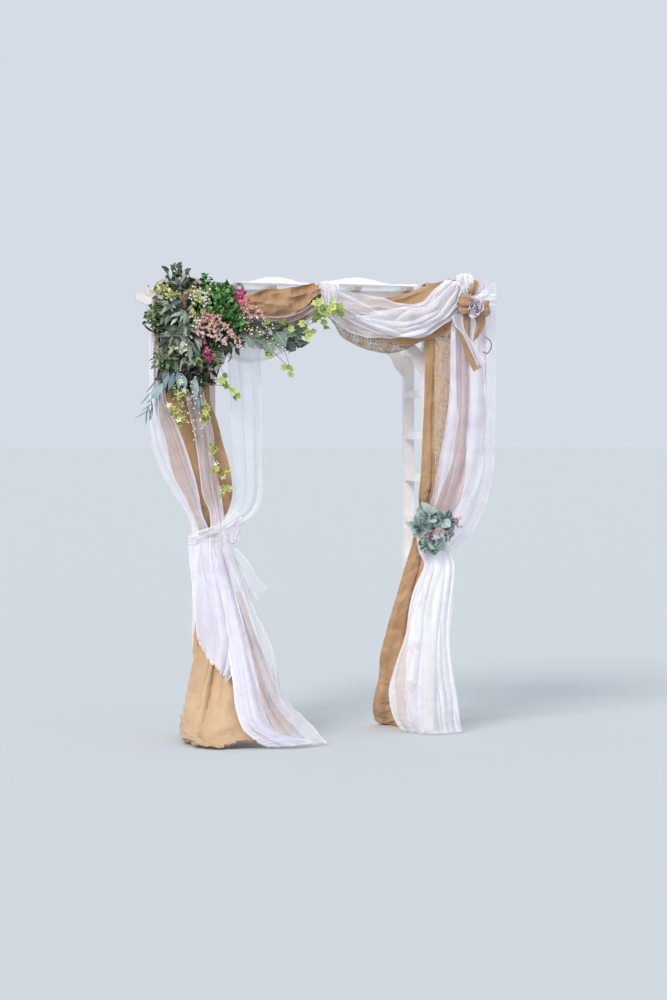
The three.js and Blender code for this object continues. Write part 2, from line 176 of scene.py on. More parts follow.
def creases(uv, length, rng):
    """Small uneven creases, of about that length, over points with flat places uv."""
    height = np.zeros(uv.shape[:-1])
    for _ in range(CREASE_WAVES):
        angle = rng.uniform(0, math.pi)
        size = length * rng.uniform(0.5, 1.8)
        along = uv[..., 0] * math.cos(angle) + uv[..., 1] * math.sin(angle)
        over = uv[..., 1] * math.cos(angle) - uv[..., 0] * math.sin(angle)
        bend = 0.35 * np.sin(TURN * (over / (2.3 * size) + rng.uniform(0, 1)))
        ridge = 1 - 2 * np.abs(np.sin(math.pi * (along / size + bend + rng.uniform(0, 1))))
        height += ridge * (0.5 + 0.5 * np.sin(TURN * (over / (3.1 * size) + rng.uniform(0, 1))))
    return height / CREASE_WAVES


def down_cloth(values, down):
    """One value, or some from the top edge to the hem, as one for each row of the cloth's points."""
    return np.interp(down, np.linspace(0, 1, np.size(values)), np.atleast_1d(values))[:, None, None]


def make_cloth(name, net, finish, flat, seed, steps, folds, depth, lean=0.7, drift=0.35,
               crease=2.0, crease_length=70, ragged=0, replaced=()):
    """A sheet of cloth through a net, with folds and creases of those depths; gives its hem."""
    rng = np.random.default_rng(seed)
    across, down = np.linspace(0, 1, steps[0] + 1), np.linspace(0, 1, steps[1] + 1)
    base = surface_through(net, across, down)
    right, lower, normal = grid_directions(base)
    rise, sway = fold_waves(across, down, folds, drift, rng)
    depths = down_cloth(depth, down)
    uv = np.stack(np.meshgrid(across * flat[0], down * flat[1]), axis=-1)
    points = base + normal * rise[..., None] * depths + right * sway[..., None] * depths * lean
    large = creases(uv, crease_length * MM, rng)
    small = creases(uv, crease_length * MM * SMALL_CREASE_LENGTH, rng)
    crumples = large + SMALL_CREASE_HEIGHT * small
    points = points + normal * crumples[..., None] * down_cloth(crease, down) * CREASE_HEIGHT
    if ragged:
        torn = rng.uniform(-1, 0.4, len(across)) + 0.8 * np.sin(across * 23) + 0.6 * np.sin(across * 61)
        nearness = np.clip((down - FRAYED_FROM) / FRAYED_PART, 0, 1)[:, None, None]
        points = points + lower * torn[None, :, None] * nearness * ragged
    own = grid_directions(points)[2]
    crowding = 1 / np.maximum(np.abs((own * normal).sum(-1)), EDGE_ON)
    width = np.linalg.norm(np.diff(base, axis=1), axis=-1).sum(axis=1)
    crowding = crowding * np.clip(np.median(width) / width, LEAST_GATHERED, MOST_GATHERED)[:, None]
    points[..., 2] = np.maximum(points[..., 2], FLOOR_CLEARANCE)
    edge = np.minimum(across, 1 - across)[None, :] * flat[0] * np.ones_like(crowding)
    piece = make_piece(
        name, points.reshape(-1, 3), grid_faces(len(down), len(across)), finish, uv.reshape(-1, 2),
        {"crowding": crowding.ravel(), "edge": edge.ravel()}, replaced)
    return points[-1]


# Materials

def tone(red, green, blue):
    """A colour as seen on a screen, from 0 to 255, in the shader's own linear values."""
    linear = []
    for channel in (red / 255, green / 255, blue / 255):
        linear.append(channel / 12.92 if channel <= 0.04045 else ((channel + 0.055) / 1.055) ** 2.4)
    return (*linear, 1.0)


class Signal:
    """A socket of a material; the operators of Python add its Math nodes."""

    def __init__(self, finish, socket):
        self.finish = finish
        self.socket = socket

    def __add__(self, other):
        return self.finish.math("ADD", self, other)

    def __radd__(self, other):
        return self.finish.math("ADD", other, self)

    def __sub__(self, other):
        return self.finish.math("SUBTRACT", self, other)

    def __rsub__(self, other):
        return self.finish.math("SUBTRACT", other, self)

    def __mul__(self, other):
        return self.finish.math("MULTIPLY", self, other)

    def __rmul__(self, other):
        return self.finish.math("MULTIPLY", other, self)

    def __pow__(self, other):
        return self.finish.math("POWER", self, other)

    def __rpow__(self, other):
        return self.finish.math("POWER", other, self)


class Finish:
    """A material that keeps the name of the slot it is meant for; its fixed values are on the shader's own
    sockets.
    """

    def __init__(self, name, slot=None, **fixed):
        self.slot = slot
        self.material = bpy.data.materials.new(name)
        self.material.use_nodes = True
        self.tree = self.material.node_tree
        self.tree.nodes.clear()
        self.shader = self.tree.nodes.new("ShaderNodeBsdfPrincipled")
        output = self.tree.nodes.new("ShaderNodeOutputMaterial")
        self.tree.links.new(self.shader.outputs[0], output.inputs[0])
        for socket, value in fixed.items():
            self.shader.inputs[socket.replace("_", " ")].default_value = value

    def put(self, socket, value):
        """Links a signal to a socket, or sets a plain value on it."""
        if isinstance(value, Signal):
            self.tree.links.new(value.socket, socket)
        else:
            socket.default_value = value

    def node(self, kind, settings=None, values=None, output=0):
        """A node of that type: settings first, then the values or links of its sockets."""
        made = self.tree.nodes.new(kind)
        for name, setting in (settings or {}).items():
            setattr(made, name, setting)
        for socket, value in (values or {}).items():
            self.put(made.inputs[socket], value)
        return Signal(self, made.outputs[output])

    def math(self, operation, *terms):
        return self.node("ShaderNodeMath", {"operation": operation}, dict(enumerate(terms)))

    def vector(self, operation, *terms):
        return self.node("ShaderNodeVectorMath", {"operation": operation}, dict(enumerate(terms)))

    def step(self, value, low, high):
        """From 0 to 1 as a value goes from low to high."""
        return self.node("ShaderNodeMapRange", {"interpolation_type": "SMOOTHSTEP"},
                         {"Value": value, "From Min": low, "From Max": high})

    def mix(self, factor, first, second):
        """A colour from the first, at factor 0, to the second, at 1."""
        return self.node("ShaderNodeMix", {"data_type": "RGBA"},
                         {0: factor, 6: first, 7: second}, output=2)

    def noise(self, place, scale, detail=3.0, roughness=0.55):
        return self.node("ShaderNodeTexNoise", None,
                         {"Vector": place, "Scale": scale, "Detail": detail, "Roughness": roughness})

    def stretched(self, place, x, y, z):
        return self.vector("MULTIPLY", place, (x, y, z))

    def own_place(self):
        """Places in the piece itself, in metres."""
        return self.node("ShaderNodeTexCoord", output=3)

    def flat_place(self):
        """Places on the cloth as it was cut, in metres, or on a leaf from its stalk to its tip."""
        return self.node("ShaderNodeUVMap", {"uv_map": "UVMap"})

    def split(self, vector, axis):
        return self.node("ShaderNodeSeparateXYZ", None, {0: vector}, output=axis)

    def value_of(self, name):
        return self.node("ShaderNodeAttribute", {"attribute_name": name}, output=2)

    def feed(self, **sockets):
        for socket, value in sockets.items():
            self.put(self.shader.inputs[socket.replace("_", " ")], value)

    def relief(self, height, depth, strength):
        self.feed(Normal=self.node("ShaderNodeBump", None,
                                   {"Strength": strength, "Distance": depth, "Height": height}))


# How the grain runs: its stretch along the wood, the axis that its ends face, and how much darker and
# browner its end faces are made
GRAIN = {"upright": ((1, 1, 0.06), 2, 0.0), "crosswise": ((0.06, 1, 1), 0, 0.45),
         "front_to_back": ((1, 0.06, 1), 1, 0.75)}


def painted_wood(run):
    """Old off-white paint, brushed along the grain, thin and beige in places, with a few chips."""
    stretch, end_axis, end_darkening = GRAIN[run]
    finish = Finish("painted_wood_" + run, "painted_wood", Roughness=0.6)
    place = finish.own_place()
    along = finish.stretched(place, *stretch)
    brush = finish.noise(along, 260.0, 3.0)
    grain = finish.noise(along, 70.0, 4.0, 0.65)
    cloud = finish.noise(place, 9.0, 3.0)
    chips = finish.step(finish.noise(place, 55.0, 4.0, 0.6) + 0.35 * (cloud - 0.5), 0.70, 0.74)
    paint = finish.mix(finish.step(cloud, 0.35, 0.75) * 0.6, tone(240, 235, 231), tone(224, 212, 205))
    paint = finish.mix(finish.step(grain, 0.5, 0.85) * 0.35, paint, tone(206, 190, 178))
    paint = finish.mix(finish.step(brush, 0.4, 0.75) * 0.3, paint, tone(248, 245, 243))
    # End faces are made darker and browner
    facing = finish.math("ABSOLUTE", finish.split(finish.node("ShaderNodeTexCoord", output=1), end_axis))
    ends = finish.step(facing, 0.55, 0.9) * end_darkening
    paint = finish.mix(ends, paint, tone(150, 128, 112))
    finish.feed(Base_Color=finish.mix(chips * 0.8, paint, tone(150, 125, 100)),
                Roughness=0.5 + 0.25 * grain)
    finish.relief(brush * 0.4 + grain * 0.6 - chips * 0.7, 0.0012, 0.7)
    return finish


# Threads of jute: from one to the next in metres, and the paler colour of the jute near the floor
CLOSE_PITCH = 0.0024
OPEN_PITCH = 0.0075
OPEN_SWAG_PITCH = 0.0095
PALE_FLOOR_TONE = (228, 199, 160)

# The most that a net hides of what is behind it, and how much more it hides along its hems
MOST_COVER = 0.97
HEM_COVER = 0.45


def thread_waves(finish, place, pitch):
    """Two sets of threads, each from 0 between the threads to 1 along their middles."""
    turns = math.pi / pitch
    upright = finish.math("ABSOLUTE", finish.math("SINE", finish.split(place, 0) * turns))
    crosswise = finish.math("ABSOLUTE", finish.math("SINE", finish.split(place, 1) * turns))
    return upright, crosswise


def wandering(finish, place, scale, amount):
    """Places pushed about a little, as hand-laid threads wander."""
    push = finish.node("ShaderNodeTexNoise", None,
                       {"Vector": place, "Scale": scale, "Detail": 2.0}, output=1)
    push = finish.vector("SUBTRACT", push, (0.5, 0.5, 0.5))
    return finish.vector("ADD", place, finish.stretched(push, amount, amount, amount))


def burlap(name, light, middle, dark, paler_below=0.0):
    """Closely woven jute: uneven threads, slubs and soft changes of colour; paler below that height."""
    light, middle, dark = tone(*light), tone(*middle), tone(*dark)
    finish = Finish(name, "burlap", Roughness=0.92, Sheen_Weight=0.15, Sheen_Roughness=0.6)
    place = wandering(finish, finish.flat_place(), 18.0, 0.004)
    upright, crosswise = thread_waves(finish, place, CLOSE_PITCH)
    weave = finish.math("MAXIMUM", upright * 0.95, crosswise)
    slubs_down = finish.noise(finish.stretched(place, 420.0, 14.0, 1.0), 1.0, 2.0)
    slubs_across = finish.noise(finish.stretched(place, 14.0, 420.0, 1.0), 1.0, 2.0)
    cloud = finish.noise(finish.own_place(), 7.0, 3.0)
    color = finish.mix(finish.step(cloud, 0.3, 0.75), light, middle)
    color = finish.mix(finish.step(slubs_down, 0.5, 0.8) * 0.55, color, dark)
    color = finish.mix(finish.step(slubs_across, 0.52, 0.8) * 0.5, color, light)
    # Darker between the threads: painted shade in the gaps of the weave
    color = finish.mix((1 - weave) * 0.5, color, dark)
    # Paler towards the floor
    if paler_below:
        paling = 1 - finish.step(finish.split(finish.own_place(), 2), 0.1, paler_below)
        color = finish.mix(paling * 0.5, color, tone(*PALE_FLOOR_TONE))
    finish.feed(Base_Color=color)
    finish.relief(weave + slubs_down * 0.8 + slubs_across * 0.8, 0.0015, 0.8)
    return finish


def open_burlap(name, light, middle, dark, pitch, cover, loose_start=0.0):
    """Loosely woven, fraying jute: threads that wander and thin out, with holes and slits between them."""
    light, middle, dark = tone(*light), tone(*middle), tone(*dark)
    finish = Finish(name, "burlap", Roughness=0.95)
    place = wandering(finish, wandering(finish, finish.flat_place(), 12.0, 0.03), 60.0, 0.012)
    upright = thread_waves(finish, place, pitch)[0]
    crosswise = thread_waves(finish, place, pitch * 1.7)[1]
    thinning = finish.noise(finish.stretched(place, 40.0, 25.0, 1.0), 1.0, 3.0)
    cloud = finish.noise(finish.own_place(), 14.0, 2.0)
    start = 1 - finish.step(finish.split(finish.flat_place(), 1), 0.2, 0.5)
    edge = 1 - cover + 0.8 * (thinning - 0.5) + 0.7 * (cloud - 0.55) + loose_start * start
    threads = finish.math("MAXIMUM", finish.step(upright - edge, -0.12, 0.15),
                          finish.step(crosswise - edge, -0.12, 0.15))
    holes = (1 - threads) * finish.step(finish.noise(place, 170.0, 1.0), 0.40, 0.60)
    patches = finish.node("ShaderNodeTexVoronoi", {"feature": "DISTANCE_TO_EDGE"},
                          {"Vector": finish.stretched(place, 1.0, 0.75, 1.0), "Scale": 112.0})
    thin_places = finish.step(thinning + 0.4 * (cloud - 0.5), 0.30, 0.52)
    slits = (1 - finish.step(patches, 0.02, 0.10)) * thin_places
    frayed = (1 - finish.step(patches, 0.08, 0.22)) * 0.4
    fluff = finish.noise(place, 300.0, 2.0)
    color = finish.mix(finish.step(cloud, 0.35, 0.7), light, middle)
    color = finish.mix(finish.step(fluff, 0.45, 0.8) * 0.6, color, dark)
    color = finish.mix(frayed, color, dark)
    finish.feed(Base_Color=color, Alpha=1 - 0.72 * finish.math("MAXIMUM", holes, slits))
    finish.relief(finish.math("MAXIMUM", upright, crosswise) + fluff * 0.5, 0.002, 0.9)
    return finish


def tulle(name, color, shade, density, streaks=42.0):
    """A see-through net. It hides more where a fold turns edge on, along its hems and where it bunches."""
    finish = Finish(name, "tulle", Roughness=0.75, Sheen_Weight=0.2, Sheen_Roughness=0.5)
    place = finish.flat_place()
    streak = finish.noise(finish.stretched(place, streaks, 1.8, 1.0), 1.0, 3.0)
    cloud = finish.noise(finish.own_place(), 11.0, 3.0)
    mesh = finish.noise(finish.stretched(place, 900.0, 900.0, 1.0), 1.0, 1.0)
    hem = 1 - finish.step(finish.value_of("edge"), 0.004, 0.012)
    layers = finish.value_of("crowding") ** 0.8 * (0.2 + 0.9 * streak + 0.7 * cloud) * (0.85 + 0.3 * mesh)
    clear = (1 - density) ** layers
    alpha = finish.math("MINIMUM", 1 - clear * (1 - HEM_COVER * hem), MOST_COVER)
    tint = finish.mix(finish.step(cloud + 0.4 * (streak - 0.5), 0.35, 0.7), tone(*color), tone(*shade))
    finish.feed(Base_Color=tint, Alpha=alpha)
    finish.relief(mesh, 0.0006, 0.4)
    return finish


def leaf_finish(name, dark, light, vein, roughness, front=None):
    """Artificial leaves: each of its own colour, with a paler midrib, darker near the stalk; painted shade
    darkens them further back than front.
    """
    dark, light, vein = tone(*dark), tone(*light), tone(*vein)
    finish = Finish(name, "artificial_foliage", Roughness=roughness)
    place = finish.own_place()
    shade = finish.value_of("shade")
    mottle = finish.noise(place, 160.0, 3.0)
    over = finish.math("ABSOLUTE", finish.split(finish.flat_place(), 1) - 0.5)
    color = finish.mix(finish.step(shade + 0.5 * (mottle - 0.5), 0.05, 0.95), dark, light)
    color = finish.mix(finish.step(finish.math("FRACT", shade * 7.3), 0.6, 1.0) * 0.35, color, vein)
    # Darker towards the stalk: partly painted shade where leaves crowd at their bases, partly the darker
    # bases that artificial leaves have
    stalk_end = 1 - finish.step(finish.split(finish.flat_place(), 0), 0.0, 0.55)
    color = finish.mix(stalk_end * 0.55, color, dark)
    rib = 1 - finish.step(over, 0.02, 0.09)
    rim = finish.step(over, 0.36, 0.49)
    color = finish.mix(rib * 0.5 + rim * 0.25, color, vein)
    # Painted shade: leaves further back than front are darkened towards a deep shade of their dark colour
    if front is not None:
        behind = finish.step(finish.split(place, 1), front, front + 0.1)
        color = finish.mix(behind * 0.75, color, (*(0.55 * channel for channel in dark[:3]), 1.0))
    finish.feed(Base_Color=color, Roughness=roughness - 0.1 + 0.2 * mottle)
    finish.relief(mottle + 0.6 * rib, 0.0008, 0.6)
    return finish


def petal_finish(name, heart, petal, tip, roughness, slot="artificial_foliage"):
    """Petals, berries and buds: one colour at the heart, another towards the tips."""
    finish = Finish(name, slot, Roughness=roughness)
    shade = finish.value_of("shade")
    mottle = finish.noise(finish.own_place(), 240.0, 2.0)
    out = finish.split(finish.flat_place(), 0)
    color = finish.mix(finish.step(out + 0.7 * (shade - 0.5), 0.0, 0.7), tone(*heart), tone(*petal))
    color = finish.mix(finish.step(shade + 0.6 * (mottle - 0.5), 0.4, 0.95), color, tone(*tip))
    finish.feed(Base_Color=color)
    finish.relief(mottle, 0.0006, 0.5)
    return finish


WOOD = {run: painted_wood(run) for run in GRAIN}
BURLAP_TONES = ((212, 170, 129), (184, 140, 99), (130, 94, 64))
BURLAP = burlap("burlap", *BURLAP_TONES)
BURLAP_PALER_BELOW = burlap("burlap_paler_below", *BURLAP_TONES, paler_below=0.95)
# The bow's burlap is a darker copy of the burlap: painted shade on its loops and tails
BURLAP_BOW_SHADED = burlap("bow_burlap", (206, 166, 126), (176, 136, 100), (120, 88, 62))
OPEN_BURLAP = open_burlap("open_burlap", (214, 178, 140), (190, 148, 106), (146, 104, 66),
                          OPEN_PITCH, 0.40)
OPEN_SWAG = open_burlap("open_swag_burlap", (182, 158, 128), (150, 124, 96), (92, 76, 62),
                        OPEN_SWAG_PITCH, 0.40, loose_start=0.3)
TULLE = tulle("tulle", (250, 246, 251), (233, 222, 235), 0.38)
TULLE_SWAG = tulle("tulle_swag", (255, 252, 255), (242, 234, 244), 0.44, streaks=22.0)
# A darker, brownish tulle for the band over the left swag's burlap: its colour paints in the shaded burlap
# seen through it
TULLE_OVER_SHADED_BURLAP = tulle("tulle_over_burlap", (212, 192, 190), (168, 146, 142), 0.55, streaks=30.0)
TULLE_PUFFED = tulle("tulle_puffed", (255, 254, 255), (250, 247, 252), 0.72)
TULLE_SHEER = tulle("tulle_single", (247, 246, 250), (232, 231, 242), 0.26)
TULLE_DENSE = tulle("tulle_gathered", (240, 238, 249), (228, 224, 240), 0.72)
TULLE_WHITE = tulle("tulle_skirt", (254, 253, 255), (245, 241, 249), 0.5)
TULLE_VEIL = tulle("tulle_veil", (249, 243, 250), (226, 210, 226), 0.27, streaks=17.0)
TULLE_LILAC = tulle("tulle_lilac", (252, 244, 250), (228, 214, 228), 0.85)
LEAF_GREY = leaf_finish("grey_green_leaves", (48, 62, 50), (118, 130, 110), (170, 178, 158), 0.8,
                        front=-0.235)
LEAF_FELT = leaf_finish("felted_leaves", (66, 82, 72), (142, 154, 138), (202, 208, 194), 0.9)
LEAF_PALE = leaf_finish("leaf_undersides", (148, 162, 150), (204, 212, 202), (222, 226, 216), 0.9)
LEAF_BLUE = leaf_finish("blue_grey_leaves", (100, 130, 136), (164, 186, 196), (196, 210, 216), 0.85)
LEAF_LOBED = leaf_finish("lobed_leaves", (52, 68, 60), (120, 138, 124), (172, 184, 168), 0.75)
LEAF_ROUND = leaf_finish("round_grey_leaves", (80, 106, 100), (178, 198, 190), (218, 226, 220), 0.8,
                         front=-0.14)
# Dark leaves for the inside of the corner bunch; their darkest tone is painted shade between the leaves in
# front
LEAF_DARK_AND_SHADED = leaf_finish("dark_leaves", (22, 38, 26), (60, 82, 56), (86, 112, 78), 0.6)
LEAF_GREEN = leaf_finish("green_leaves", (38, 92, 42), (104, 166, 84), (150, 196, 116), 0.5, front=-0.23)
LEAF_LIME = leaf_finish("lime_leaves", (112, 138, 50), (196, 208, 112), (228, 234, 170), 0.55)
LEAF_SPRING = leaf_finish("spring_leaves", (54, 84, 44), (130, 154, 92), (178, 192, 138), 0.6,
                          front=-0.215)
BLUSH = petal_finish("blush_buds", (160, 104, 94), (216, 164, 150), (246, 216, 204), 0.8)
PINK = petal_finish("pink_flowers", (178, 96, 112), (220, 148, 160), (244, 204, 208), 0.6)
MAGENTA = petal_finish("magenta_flowers", (100, 14, 60), (196, 36, 112), (232, 110, 166), 0.55)
YELLOW = petal_finish("yellow_green_flowers", (126, 130, 52), (198, 200, 112), (238, 238, 200), 0.6)
WHITE = petal_finish("cream_flowers", (190, 184, 120), (232, 230, 206), (246, 245, 236), 0.6)
CREAM = petal_finish("cream_berries", (190, 160, 110), (238, 226, 192), (250, 244, 226), 0.35)
SEED = petal_finish("dark_seeds", (78, 50, 46), (136, 102, 92), (204, 168, 156), 0.8)
TWIG = petal_finish("brown_twigs", (74, 52, 40), (96, 70, 52), (130, 100, 76), 0.85)
JUTE = petal_finish("jute_threads", (186, 146, 104), (214, 172, 124), (232, 196, 150), 0.9, "burlap")


# Wooden frame

def run_of(node):
    """Which way the grain of a piece of the frame runs."""
    if "post" in node or "bracket" in node:
        return "upright"
    return "crosswise" if "beam" in node else "front_to_back"


for node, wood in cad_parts.items():
    if any(part in node for part in ("post", "rung", "beam", "slat", "bracket")):
        for material_slot in wood.material_slots:
            material_slot.material = WOOD[run_of(node)].material


# Left drape

# The nets of both drapes are rows from the top edge down, and each row goes from left to right. The wrap
# and the tail lie across, so their rows follow the strip and go from its upper edge to its lower one.

left_hem = make_cloth(
    "left_burlap_cloth",
    [
        [(-760, -150, 2179), (-660, -150, 2179), (-560, -150, 2179)],
        [(-800, -305, 2177), (-690, -307, 2177), (-575, -305, 2177)],
        [(-824, -298, 2098), (-700, -302, 2098), (-574, -296, 2098)],
        [(-819, -298, 1883), (-692, -304, 1883), (-564, -296, 1883)],
        [(-809, -296, 1716), (-682, -304, 1716), (-555, -294, 1716)],
        [(-796, -294, 1612), (-674, -303, 1612), (-550, -292, 1612)],
        [(-786, -292, 1521), (-652, -302, 1521), (-516, -290, 1521)],
        [(-755, -290, 1416), (-622, -300, 1416), (-489, -288, 1416)],
        [(-735, -288, 1316), (-598, -298, 1316), (-460, -286, 1316)],
        [(-705, -284, 1230), (-578, -294, 1230), (-445, -282, 1230)],
        [(-664, -280, 1160), (-558, -290, 1160), (-444, -278, 1166)],
        [(-634, -274, 1090), (-550, -282, 1090), (-462, -272, 1095)],
        [(-606, -264, 1020), (-552, -270, 1020), (-496, -264, 1020)],
        [(-592, -250, 940), (-548, -256, 940), (-500, -252, 940)],
        [(-600, -260, 800), (-540, -280, 800), (-480, -272, 800)],
        [(-612, -272, 600), (-532, -325, 600), (-440, -315, 600)],
        [(-622, -285, 400), (-560, -400, 400), (-432, -390, 400)],
        [(-640, -255, 230), (-610, -480, 220), (-420, -490, 220)],
        [(-662, -200, 95), (-664, -560, 75), (-400, -610, 70)],
        [(-668, -150, 45), (-676, -620, 34), (-350, -670, 34)],
        [(-640, -140, 10), (-640, -690, 12), (-310, -716, 12)],
    ],
    BURLAP_PALER_BELOW, flat=(0.3, 2.6),
    folds=3, depth=[3, 6, 9, 9, 9, 9, 9, 9, 9, 8, 7, 6, 5, 5, 8, 10, 11, 12, 13, 10, 7], lean=0.5,
    crease=[1.5, 1.5, 2, 2, 3, 7, 14, 22], crease_length=90, steps=(100, 260), seed=11,
    replaced=["left_burlap_drape"], ragged=9)

make_cloth(
    "left_burlap_behind",
    [
        [(-560, -262, 900), (-520, -272, 900), (-480, -265, 900)],
        [(-545, -285, 780), (-495, -315, 780), (-440, -292, 780)],
        [(-520, -310, 620), (-450, -355, 620), (-380, -322, 620)],
        [(-500, -350, 450), (-410, -430, 450), (-318, -360, 450)],
        [(-480, -400, 300), (-380, -490, 300), (-266, -410, 300)],
        [(-460, -440, 180), (-350, -530, 180), (-228, -450, 190)],
        [(-440, -470, 90), (-330, -570, 90), (-196, -490, 120)],
        [(-420, -500, 20), (-310, -610, 20), (-180, -540, 40)],
    ],
    BURLAP_PALER_BELOW, flat=(0.2, 1.0),
    folds=2, depth=9, crease=4, crease_length=120, steps=(50, 110), seed=12)

make_cloth(
    "left_tulle_outer",
    [
        [(-770, -120, 2180), (-730, -120, 2180), (-690, -120, 2180)],
        [(-790, -318, 2184), (-740, -322, 2187), (-680, -320, 2184)],
        [(-846, -320, 2110), (-775, -326, 2110), (-690, -320, 2110)],
        [(-852, -318, 2000), (-790, -326, 2000), (-720, -318, 2000)],
        [(-848, -318, 1844), (-812, -326, 1844), (-776, -318, 1844)],
        [(-849, -318, 1658), (-810, -326, 1658), (-772, -316, 1658)],
        [(-849, -318, 1563), (-798, -326, 1563), (-744, -316, 1563)],
        [(-846, -318, 1492), (-780, -326, 1492), (-710, -314, 1492)],
        [(-838, -316, 1411), (-760, -326, 1411), (-677, -314, 1411)],
        [(-806, -314, 1316), (-728, -324, 1316), (-645, -312, 1316)],
        [(-773, -312, 1240), (-700, -322, 1240), (-621, -310, 1240)],
        [(-731, -310, 1168), (-668, -320, 1168), (-603, -308, 1168)],
        [(-682, -304, 1095), (-636, -320, 1090), (-588, -310, 1085)],
        [(-662, -300, 1040), (-610, -326, 1025), (-560, -326, 1010)],
        [(-655, -292, 990), (-595, -332, 960), (-530, -344, 935)],
        [(-655, -288, 930), (-590, -338, 890), (-510, -352, 860)],
        [(-648, -290, 850), (-580, -348, 810), (-492, -360, 780)],
        [(-640, -300, 760), (-565, -372, 720), (-478, -378, 690)],
    ],
    TULLE, flat=(0.173, 1.75),
    folds=4, depth=[3, 6, 8, 9, 9, 9, 9, 9, 9, 9, 9, 8, 7, 7, 8, 9, 9, 8], seed=21, steps=(100, 200),
    replaced=["left_tulle_drape"])

make_cloth(
    "left_tulle_middle",
    [
        [(-700, -120, 2181), (-650, -120, 2181), (-600, -120, 2181)],
        [(-700, -326, 2188), (-650, -330, 2190), (-600, -326, 2188)],
        [(-690, -326, 2000), (-645, -332, 2000), (-600, -324, 2000)],
        [(-675, -320, 1716), (-636, -330, 1716), (-600, -318, 1716)],
        [(-650, -318, 1582), (-612, -328, 1582), (-572, -316, 1582)],
        [(-623, -316, 1459), (-584, -326, 1459), (-542, -314, 1459)],
        [(-609, -314, 1354), (-572, -324, 1354), (-532, -312, 1354)],
        [(-599, -312, 1263), (-558, -322, 1263), (-512, -310, 1263)],
        [(-585, -310, 1168), (-542, -320, 1168), (-494, -308, 1168)],
        [(-556, -308, 1096), (-524, -318, 1096), (-490, -308, 1096)],
        [(-550, -318, 1040), (-518, -330, 1040), (-486, -316, 1040)],
        [(-556, -334, 985), (-518, -346, 980), (-480, -330, 975)],
        [(-560, -344, 920), (-512, -358, 910), (-462, -340, 900)],
        [(-552, -356, 840), (-496, -374, 825), (-438, -352, 810)],
        [(-540, -376, 740), (-476, -398, 720), (-410, -372, 700)],
    ],
    TULLE, flat=(0.14, 1.7),
    folds=3, depth=[4, 7, 8, 8, 8, 8, 8, 8, 8, 7, 6, 7, 9, 10, 10], seed=22, steps=(80, 190))

make_cloth(
    "left_tulle_loop",
    [
        [(-480, -292, 2110), (-398, -296, 2110), (-312, -292, 2110)],
        [(-485, -302, 2000), (-390, -308, 2000), (-306, -302, 2000)],
        [(-478, -294, 1886), (-385, -302, 1886), (-298, -294, 1886)],
        [(-462, -288, 1700), (-370, -298, 1700), (-292, -288, 1700)],
        [(-452, -286, 1560), (-362, -296, 1560), (-290, -286, 1560)],
        [(-440, -286, 1382), (-360, -296, 1382), (-289, -286, 1382)],
        [(-434, -286, 1260), (-358, -296, 1250), (-289, -286, 1240)],
        [(-434, -286, 1190), (-362, -296, 1165), (-296, -286, 1145)],
        [(-440, -290, 1135), (-385, -300, 1102), (-330, -292, 1082)],
        [(-462, -296, 1092), (-430, -306, 1060), (-395, -300, 1032)],
        [(-500, -304, 1056), (-480, -314, 1026), (-460, -308, 998)],
        [(-540, -312, 1020), (-530, -322, 1000), (-520, -314, 980)],
    ],
    TULLE_SHEER, flat=(0.153, 1.35),
    folds=2.5, depth=[5, 10, 15, 15, 15, 15, 14, 12, 9, 7, 6, 4], seed=25, steps=(90, 180))

make_cloth(
    "left_tulle_wrap",
    [
        [(-430, -300, 1090), (-405, -308, 1060), (-392, -302, 1030)],
        [(-470, -322, 1060), (-450, -334, 1025), (-440, -324, 992)],
        [(-520, -340, 1030), (-505, -354, 998), (-500, -344, 964)],
        [(-575, -338, 1006), (-562, -352, 978), (-562, -344, 946)],
        [(-625, -318, 985), (-615, -330, 962), (-618, -322, 938)],
        [(-655, -286, 968), (-650, -292, 950), (-652, -286, 930)],
    ],
    TULLE, flat=(0.1, 0.28),
    folds=3, depth=6, seed=26, steps=(60, 80), crease=1.5, crease_length=40)

make_cloth(
    "left_tulle_tuft",
    [
        [(-492, -315, 1018), (-452, -322, 1022), (-410, -318, 1014)],
        [(-484, -322, 990), (-448, -332, 988), (-410, -322, 984)],
        [(-474, -322, 958), (-446, -330, 950), (-424, -322, 954)],
        [(-462, -318, 936), (-448, -322, 930), (-438, -318, 940)],
    ],
    TULLE, flat=(0.15, 0.12),
    folds=7, depth=5, seed=27, steps=(80, 40), crease=1.0, crease_length=25)

make_cloth(
    "left_tulle_skirt_back",
    [
        [(-530, -292, 935), (-495, -298, 935), (-468, -292, 928)],
        [(-500, -300, 843), (-462, -310, 843), (-426, -300, 843)],
        [(-480, -325, 730), (-430, -337, 730), (-378, -322, 730)],
        [(-450, -345, 647), (-400, -362, 647), (-352, -345, 647)],
        [(-420, -370, 532), (-360, -397, 532), (-300, -375, 532)],
        [(-400, -400, 439), (-330, -432, 439), (-264, -405, 439)],
        [(-380, -430, 330), (-310, -462, 330), (-248, -430, 330)],
        [(-350, -470, 200), (-290, -502, 200), (-230, -460, 200)],
        [(-300, -540, 100), (-220, -562, 100), (-150, -500, 105)],
        [(-220, -620, 30), (-150, -622, 30), (-80, -560, 30)],
        [(-180, -660, 8), (-110, -652, 8), (-55, -610, 8)],
    ],
    TULLE_SHEER, flat=(0.158, 1.3),
    folds=3, depth=[4, 6, 8, 9, 10, 10, 10, 10, 10, 8, 4], seed=28, steps=(70, 130))

